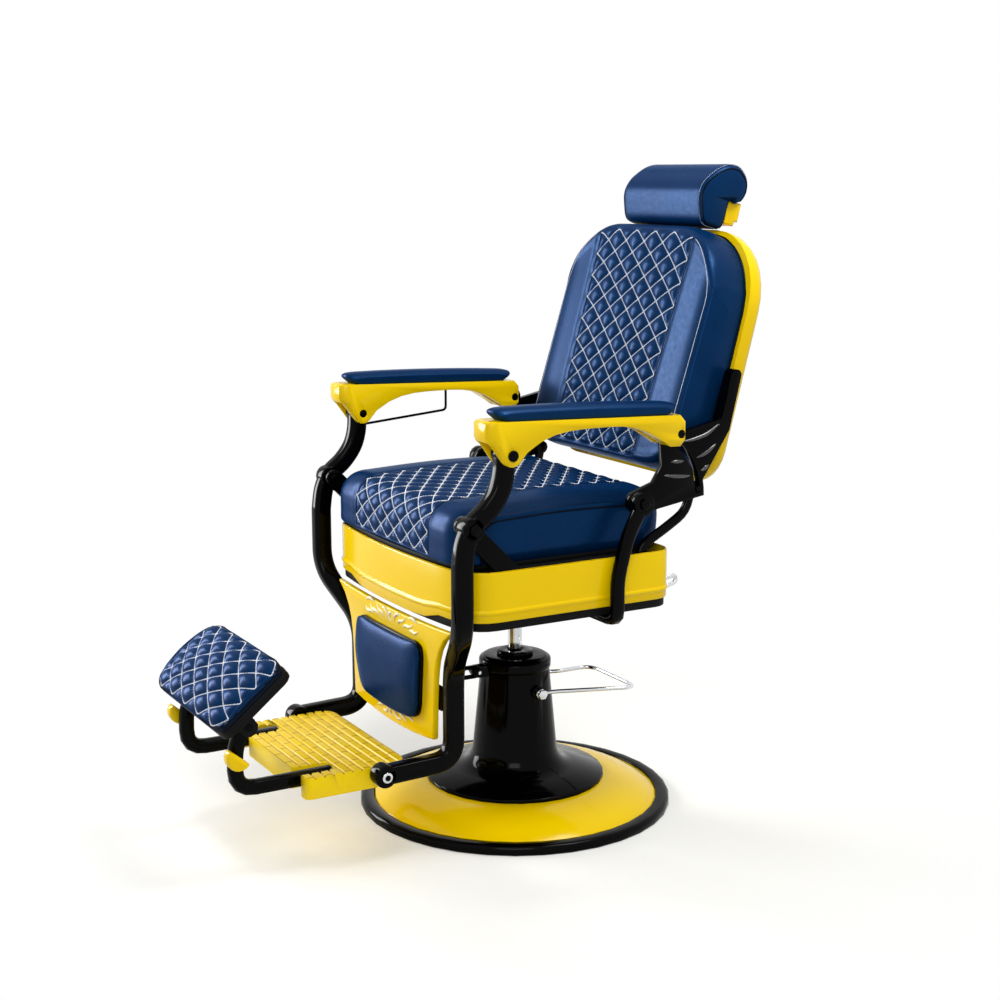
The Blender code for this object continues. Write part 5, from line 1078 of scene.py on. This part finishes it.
class CHAIR_OT_arm_pads(bpy.types.Operator):
    """Slim pads along the tops of the armrests"""

    bl_idname = "chair.arm_pads"
    bl_label = "Arm pads"

    def execute(self, context):
        half_width, crown = 0.026, 0.026
        front, rear = -0.226, 0.155

        def arm_top(y):
            return 0.818 - 0.015 * (y + 0.250) / 0.421

        def ends(x):
            back = rounded_end(x, half_width, half_width * 0.8)
            return (front + back, rear - back)

        rows = [(front, 0.0), (front, 0.55 * crown)]
        for i in range(9):
            along = i / 8
            swell = 0.84 + 0.16 * math.sin(math.pi * along) ** 0.6
            rows.append((front + 0.012 + (rear - front - 0.024) * along, crown * swell))
        rows += [(rear, 0.55 * crown), (rear, 0.0)]
        columns = pad_columns(half_width, half_width * 0.45, 2, half_width * 0.7, 0.42, 3)
        for word in ("left", "right"):
            low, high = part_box("arm_pad_" + word)
            middle = (low.x + high.x) / 2

            def place(x, y, height):
                return (middle + x, y, arm_top(y) + FIT + height)

            quilt = Quilt(columns, rows, ends, place, tuck=0.002)
            cover, body, node = "arm_pad_cover_" + word, "arm_" + word, "arm_pad_" + word
            quilted(cover, quilt, PLAIN, (0, 0, 1), body, node, 0.0)
        return {"FINISHED"}


class CHAIR_OT_leg_bars(bpy.types.Operator):
    """Bent posts of the leg rest with their pivot eyes"""

    bl_idname = "chair.leg_bars"
    bl_label = "Leg bars"

    def execute(self, context):
        width, depth, corner, bend = 0.0300, 0.036, 0.009, 0.042
        upper_x, lower_x, upper_y, lower_y = 0.2988, 0.195, -0.280, -0.243
        neck = (
            LUG,
            (LUG[0] - 0.002, LUG[1] - 0.036),
            (LUG[0] - 0.012, LUG[1] - 0.068),
            (LUG[0] - 0.034, LUG[1] - 0.097),
            (KNUCKLE[0] + 0.004, KNUCKLE[1] + 0.005),
            (KNUCKLE[0] - 0.011, KNUCKLE[1] - 0.026),
            (upper_y, KNUCKLE[1] - 0.066),
        )
        for sign, word in ((1, "left"), (-1, "right")):
            upper, lower = sign * upper_x, sign * lower_x
            points = [
                *((upper, y, z) for y, z in smooth_run(neck, 4)),
                (upper, upper_y, 0.445),
                (lower, lower_y, 0.352),
                (lower, lower_y, PLATFORM[1] + 0.004),
                (lower, *PLATFORM),
            ]
            bar = self.sweep("leg_bar_" + word, self.rounded(points, bend), width, depth, corner)
            eyes = [
                self.add_eye((upper, *LUG), 0.019, width),
                self.add_eye((upper, *KNUCKLE), 0.0215, width),
                self.add_eye((lower, *PLATFORM), 0.021, width),
            ]
            deselect()
            for piece in (bar, *eyes):
                piece.select_set(True)
            context.view_layer.objects.active = bar
            bpy.ops.object.join()
            bpy.ops.object.shade_smooth_by_angle(angle=math.radians(40))
            made = settle(context.object, "black_enamel", "leg_rest", "black_enamel")
            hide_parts("leg_frame_" + word)
        return {"FINISHED"}

    @staticmethod
    def rounded(points, bend, steps=10):
        """A run of straight legs with its corners rounded."""
        points = [Vector(point) for point in points]
        path = [points[0]]
        for before, corner, after in zip(points, points[1:], points[2:]):
            reach = min(bend, (before - corner).length * 0.49, (after - corner).length * 0.49)
            start = corner + (before - corner).normalized() * reach
            end = corner + (after - corner).normalized() * reach
            for step in range(steps + 1):
                t = step / steps
                path.append(start * (1 - t) ** 2 + corner * 2 * t * (1 - t) + end * t**2)
        return [*path, points[-1]]

    @staticmethod
    def sweep(name, path, width, depth, corner, steps=5):
        """A bar of rounded section along a path, its width kept level."""
        section = []
        for quarter, (a, b) in enumerate(((1, 1), (-1, 1), (-1, -1), (1, -1))):
            for step in range(steps + 1):
                angle = math.pi / 2 * (quarter + step / steps)
                across = a * (width / 2 - corner) + corner * math.cos(angle)
                section.append((across, b * (depth / 2 - corner) + corner * math.sin(angle)))
        points = []
        for i, point in enumerate(path):
            before, after = path[max(i - 1, 0)], path[min(i + 1, len(path) - 1)]
            heading = (after - before).normalized()
            level = (Vector((1, 0, 0)) - heading * heading.x).normalized()
            rise = heading.cross(level)
            points += [point + level * a + rise * b for a, b in section]
        return raw_mesh(name, points, ring_faces(len(path), len(section)))

    @staticmethod
    def add_eye(place, radius, width):
        """A pivot eye across the bar."""
        return boss(place, radius, width, 40, 0.003, 4, (0, math.pi / 2, 0))


class CHAIR_OT_trim(bpy.types.Operator):
    """Ribs of the back brackets, relief of the calf panel and the bolts' sockets"""

    bl_idname = "chair.trim"
    bl_label = "Trim"

    def execute(self, context):
        self.add_ribs()
        self.add_relief()
        self.add_screws()
        self.add_collar()
        return {"FINISHED"}

    @staticmethod
    def add_collar():
        """Rounded band round the top of the pump column."""
        top, radius, height, rim = 0.2945, 0.0715, 0.024, 0.007
        collar = boss((0, 0, top - height / 2), radius, height, 72, rim, 5)
        collar.name = "column_collar"
        bpy.ops.object.shade_smooth_by_angle(angle=math.radians(40))
        settle(collar, "black_enamel", "base", "black_enamel")

    @staticmethod
    def add_ribs():
        """Three curved ribs on the outer face of each back bracket."""
        rib_radius = 0.0042
        curves = (
            ((0.268, 0.775), (0.238, 0.758), (0.205, 0.750), (0.172, 0.748)),
            ((0.262, 0.738), (0.236, 0.722), (0.205, 0.713), (0.160, 0.712)),
            ((0.246, 0.700), (0.225, 0.689), (0.195, 0.683), (0.145, 0.688)),
        )
        for sign, word in ((1, "left"), (-1, "right")):
            face = sign * BRACKET_FACE
            runs = []
            for keys in curves:
                line = smooth_run(keys, 8)
                reach = np.linalg.norm(line - np.array(BACK_PIVOT), axis=1)
                for part in (line[reach > QUADRANT[1]], line[reach < QUADRANT[0]]):
                    if len(part) > 2:
                        runs.append([(face, y, z) for y, z in part])
            name = "bracket_ribs_" + word
            # The ribs take a lighter, glossier copy of the black enamel: a painted highlight that sets them off
            # from the bracket.
            tube(name, runs, rib_radius, "rib_highlight_enamel", "back", "black_enamel", False, 12, swelling)

    @staticmethod
    def add_relief():
        """Leaf strokes above and below the calf pad, mirrored about the middle."""
        face, stroke_radius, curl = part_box("calf_panel")[0].y, 0.0032, 0.008
        strokes = (
            ((0.012, 0.402), (0.016, 0.413), (0.029, 0.4205), (0.041, 0.417)),
            ((0.029, 0.4005), (0.036, 0.4085), (0.050, 0.4115), (0.061, 0.4195)),
            ((0.050, 0.400), (0.061, 0.4055), (0.079, 0.4065), (0.091, 0.414)),
            ((0.075, 0.3995), (0.088, 0.401), (0.100, 0.3995), (0.111, 0.405)),
            ((0.072, 0.4215), (0.085, 0.425), (0.099, 0.424), (0.110, 0.418)),
            ((0.011, 0.236), (0.014, 0.225), (0.026, 0.2155), (0.038, 0.216)),
            ((0.030, 0.237), (0.037, 0.228), (0.051, 0.2235), (0.063, 0.219)),
            ((0.052, 0.2385), (0.063, 0.2325), (0.079, 0.2305), (0.091, 0.2255)),
        )
        runs = []
        for keys in strokes:
            line = smooth_run(keys, 6)
            runs += [[(sign * x, face, z) for x, z in line] for sign in (1, -1)]
        for middle in (0.409, 0.222):
            ring = [2 * math.pi * i / 20 for i in range(17)]
            runs.append([(curl * math.cos(a), face, middle + curl * math.sin(a)) for a in ring])
        look, slot = "cream_enamel", "yellow_enamel"
        tube("calf_relief", runs, stroke_radius, look, "leg_rest", slot, False, 12, swelling)

    @staticmethod
    def add_screws():
        """Socket heads on the pivots, modelled once and copied."""
        deselect()
        bpy.ops.mesh.primitive_cylinder_add(
            vertices=28, radius=1.0, depth=0.5, rotation=(0, math.pi / 2, 0)
        )
        head = bpy.context.object
        bpy.ops.object.transform_apply(rotation=True)
        for polygon in head.data.polygons:
            polygon.select = polygon.normal.x > 0.9
        bpy.ops.object.mode_set(mode="EDIT")
        bpy.ops.mesh.select_mode(type="FACE")
        bpy.ops.mesh.inset(thickness=0.12, depth=0.10)
        bpy.ops.mesh.inset(thickness=0.36, depth=0.0)
        bpy.ops.mesh.inset(thickness=0.04, depth=-0.45)
        bpy.ops.object.mode_set(mode="OBJECT")
        bpy.ops.object.shade_smooth_by_angle(angle=math.radians(35))
        shaded_recess = [polygon.index for polygon in head.data.polygons if polygon.select]
        heads = []
        for word in ("left", "right"):
            for node, body, look in (
                ("knuckle_pin_", "seat", "black_enamel"),
                ("back_pivot_pin_", "seat", "black_enamel"),
                ("lug_bolt_", "arm_" + word, "black_enamel"),
                ("platform_bolt_", "leg_rest", "chrome_plate"),
            ):
                low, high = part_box(node + word)
                outer = high.x if word == "left" else low.x
                radius = (high.z - low.z) / 2
                heads.append(
                    (node + word, (outer, (low.y + high.y) / 2, (low.z + high.z) / 2), radius, body, look)
                )
            sign = 1 if word == "left" else -1
            place = back_place(0, 0.207, 0.010)
            heads.append(
                ("bracket_" + word, (sign * BRACKET_FACE, *place[1:]), 0.006, "back", "chrome_plate")
            )
        for name, place, radius, body, look in heads:
            piece = head.copy()
            piece.data = head.data.copy()
            piece.name = name + "_socket"
            bpy.context.scene.collection.objects.link(piece)
            piece.location = place
            piece.scale = (radius * 0.35, radius * 0.86, radius * 0.86)
            if place[0] < 0:
                piece.rotation_euler = (0, 0, math.pi)
            settle(piece, look, body, "chrome" if look == "chrome_plate" else "black_enamel")
            # The sunk floor of each socket takes black enamel: painted shade in the recess, which shows on the
            # chrome heads.
            piece.data.materials.append(finish("black_enamel"))
            for index in shaded_recess:
                piece.data.polygons[index].material_index = 1
        bpy.data.objects.remove(head)


class CHAIR_OT_castings(bpy.types.Operator):
    """Finishes of the frame, its castings, wires and bolts"""

    bl_idname = "chair.castings"
    bl_label = "Castings and metalwork"

    def execute(self, context):
        edge = finish_settings().edge
        slots = {row["node"]: row["material_slot"] for row in frame["record"]["subparts"]}
        for name, node in nodes.items():
            node.data.materials.clear()
            node.data.materials.append(finish(NODE_FINISHES.get(name, SLOT_FINISHES[slots[name]])))
            node.data.shade_smooth()
            weld = node.modifiers.new("weld", "WELD")
            weld.merge_threshold = 0.00002
            bevel = node.modifiers.new("edge", "BEVEL")
            bevel.width = edge
            bevel.segments = 2
            bevel.limit_method = "ANGLE"
            bevel.angle_limit = math.radians(42)
            bevel.use_clamp_overlap = True
            bevel.harden_normals = True
        return {"FINISHED"}


class CHAIR_OT_stage(bpy.types.Operator):
    """Pale floor, soft studio light and the camera"""

    bl_idname = "chair.stage"
    bl_label = "Stage"

    def execute(self, context):
        stage = stage_settings()
        scene = context.scene
        scene.view_settings.view_transform = "Standard"
        lens = bpy.data.cameras.new("camera")
        lens.lens = stage.lens
        lens.sensor_width = 36.0
        camera = bpy.data.objects.new("camera", lens)
        scene.collection.objects.link(camera)
        camera.location = stage.camera_place
        camera.rotation_euler = (
            math.radians(90 - stage.camera_pitch),
            0.0,
            math.radians(stage.camera_turn),
        )
        scene.camera = camera
        self.add_floor()
        self.add_world(stage.ambient)
        for name, place, size, power in (
            ("key", (-2.9, -2.0, 1.4), (1.0, 2.4), stage.key),
            ("top", (1.0, 0.9, 3.2), (1.0, 1.0), stage.top),
            ("fill", (2.9, -1.7, 2.1), (1.6, 1.6), stage.fill),
        ):
            self.add_softbox(name, place, size, power)
        return {"FINISHED"}

    @staticmethod
    def add_softbox(name, place, size, power):
        """A rectangular lamp aimed at the middle of the chair."""
        lamp = bpy.data.lights.new(name, "AREA")
        lamp.energy = power
        lamp.shape = "RECTANGLE"
        lamp.size, lamp.size_y = size
        box = bpy.data.objects.new(name, lamp)
        bpy.context.scene.collection.objects.link(box)
        box.location = place
        aim = Vector((0.0, -0.05, 0.6)) - Vector(place)
        box.rotation_euler = aim.to_track_quat("-Z", "Y").to_euler()

    @staticmethod
    def add_floor():
        """White floor that keeps the shadow near the chair and fades into the background further out."""
        fade_start, fade_end, glow_strength = 0.5, 1.1, 0.12
        deselect()
        bpy.ops.mesh.primitive_grid_add(
            x_subdivisions=4, y_subdivisions=4, size=9.0, location=(0, 0, -0.0005)
        )
        floor = bpy.context.object
        floor.name = "floor"
        made, tree, shader, place = new_material("white_floor")
        shader.inputs["Base Color"].default_value = linear("F6F6F2")
        shader.inputs["Roughness"].default_value = 0.9
        shader.inputs["Specular IOR Level"].default_value = 0.1
        reach = add_node(tree, "ShaderNodeVectorMath", {0: place}, operation="LENGTH")
        fade = add_node(
            tree,
            "ShaderNodeMapRange",
            {"Value": reach.outputs["Value"], "From Min": fade_start, "From Max": fade_end},
            interpolation_type="SMOOTHSTEP",
        )
        path = add_node(tree, "ShaderNodeLightPath")
        glow = add_node(
            tree,
            "ShaderNodeMath",
            {0: path.outputs["Is Camera Ray"], 1: glow_strength},
            operation="MULTIPLY",
        )
        bright = add_node(
            tree, "ShaderNodeEmission", {"Color": linear("FFFFFF"), "Strength": glow.outputs[0]}
        )
        lit = add_node(
            tree, "ShaderNodeAddShader", {0: shader.outputs["BSDF"], 1: bright.outputs["Emission"]}
        )
        clear = add_node(tree, "ShaderNodeBsdfTransparent")
        blend = add_node(
            tree,
            "ShaderNodeMixShader",
            {0: fade.outputs["Result"], 1: lit.outputs["Shader"], 2: clear.outputs["BSDF"]},
        )
        tree.links.new(blend.outputs["Shader"], tree.nodes["Material Output"].inputs["Surface"])
        floor.data.materials.append(made)

    @staticmethod
    def add_world(ambient):
        """Even light from all round, behind a background that looks white."""
        world = bpy.data.worlds.new("studio")
        bpy.context.scene.world = world
        world.use_nodes = True
        tree = world.node_tree
        light = tree.nodes["Background"]
        light.inputs["Color"].default_value = linear("FFFFFF")
        light.inputs["Strength"].default_value = ambient
        white = add_node(tree, "ShaderNodeBackground", {"Color": linear("FFFFFF"), "Strength": 1.0})
        path = add_node(tree, "ShaderNodeLightPath")
        seen = add_node(
            tree,
            "ShaderNodeMath",
            {0: path.outputs["Is Camera Ray"], 1: path.outputs["Is Glossy Ray"]},
            operation="MAXIMUM",
        )
        seen = add_node(
            tree,
            "ShaderNodeMath",
            {0: seen.outputs[0], 1: path.outputs["Is Transmission Ray"]},
            operation="MAXIMUM",
        )
        blend = add_node(
            tree,
            "ShaderNodeMixShader",
            {0: seen.outputs[0], 1: light.outputs["Background"], 2: white.outputs["Background"]},
        )
        tree.links.new(blend.outputs["Shader"], tree.nodes["World Output"].inputs["Surface"])


OPERATORS = (
    CHAIR_OT_stage,
    CHAIR_OT_castings,
    CHAIR_OT_seat_cushion,
    CHAIR_OT_back_cushion,
    CHAIR_OT_headrest,
    CHAIR_OT_calf_pad,
    CHAIR_OT_foot_pad,
    CHAIR_OT_arm_pads,
    CHAIR_OT_leg_bars,
    CHAIR_OT_trim,
)


class CHAIR_PT_looks(bpy.types.Panel):
    """Lists the pieces of the chair"""

    bl_idname = "CHAIR_PT_looks"
    bl_label = "Barber chair"
    bl_space_type = "VIEW_3D"
    bl_region_type = "UI"
    bl_category = "Barber chair"

    def draw(self, context):
        for settings in (leather_settings(), finish_settings(), stage_settings()):
            box = self.layout.box()
            for key in settings.__annotations__:
                box.prop(settings, key)
        for operator in OPERATORS:
            self.layout.operator(operator.bl_idname)


CLASSES = (LeatherSettings, FinishSettings, StageSettings, *OPERATORS, CHAIR_PT_looks)


def register():
    for made in CLASSES:
        bpy.utils.register_class(made)
    bpy.types.Scene.chair_leather = PointerProperty(type=LeatherSettings)
    bpy.types.Scene.chair_finish = PointerProperty(type=FinishSettings)
    bpy.types.Scene.chair_stage = PointerProperty(type=StageSettings)


def unregister():
    del bpy.types.Scene.chair_leather
    del bpy.types.Scene.chair_finish
    del bpy.types.Scene.chair_stage
    for made in reversed(CLASSES):
        bpy.utils.unregister_class(made)


def main():
    register()
    bpy.ops.chair.stage()
    bpy.ops.chair.castings()
    bpy.ops.chair.seat_cushion()
    bpy.ops.chair.back_cushion()
    bpy.ops.chair.headrest()
    bpy.ops.chair.calf_pad()
    bpy.ops.chair.foot_pad()
    bpy.ops.chair.arm_pads()
    bpy.ops.chair.leg_bars()
    bpy.ops.chair.trim()


if __name__ == "__main__":
    main()
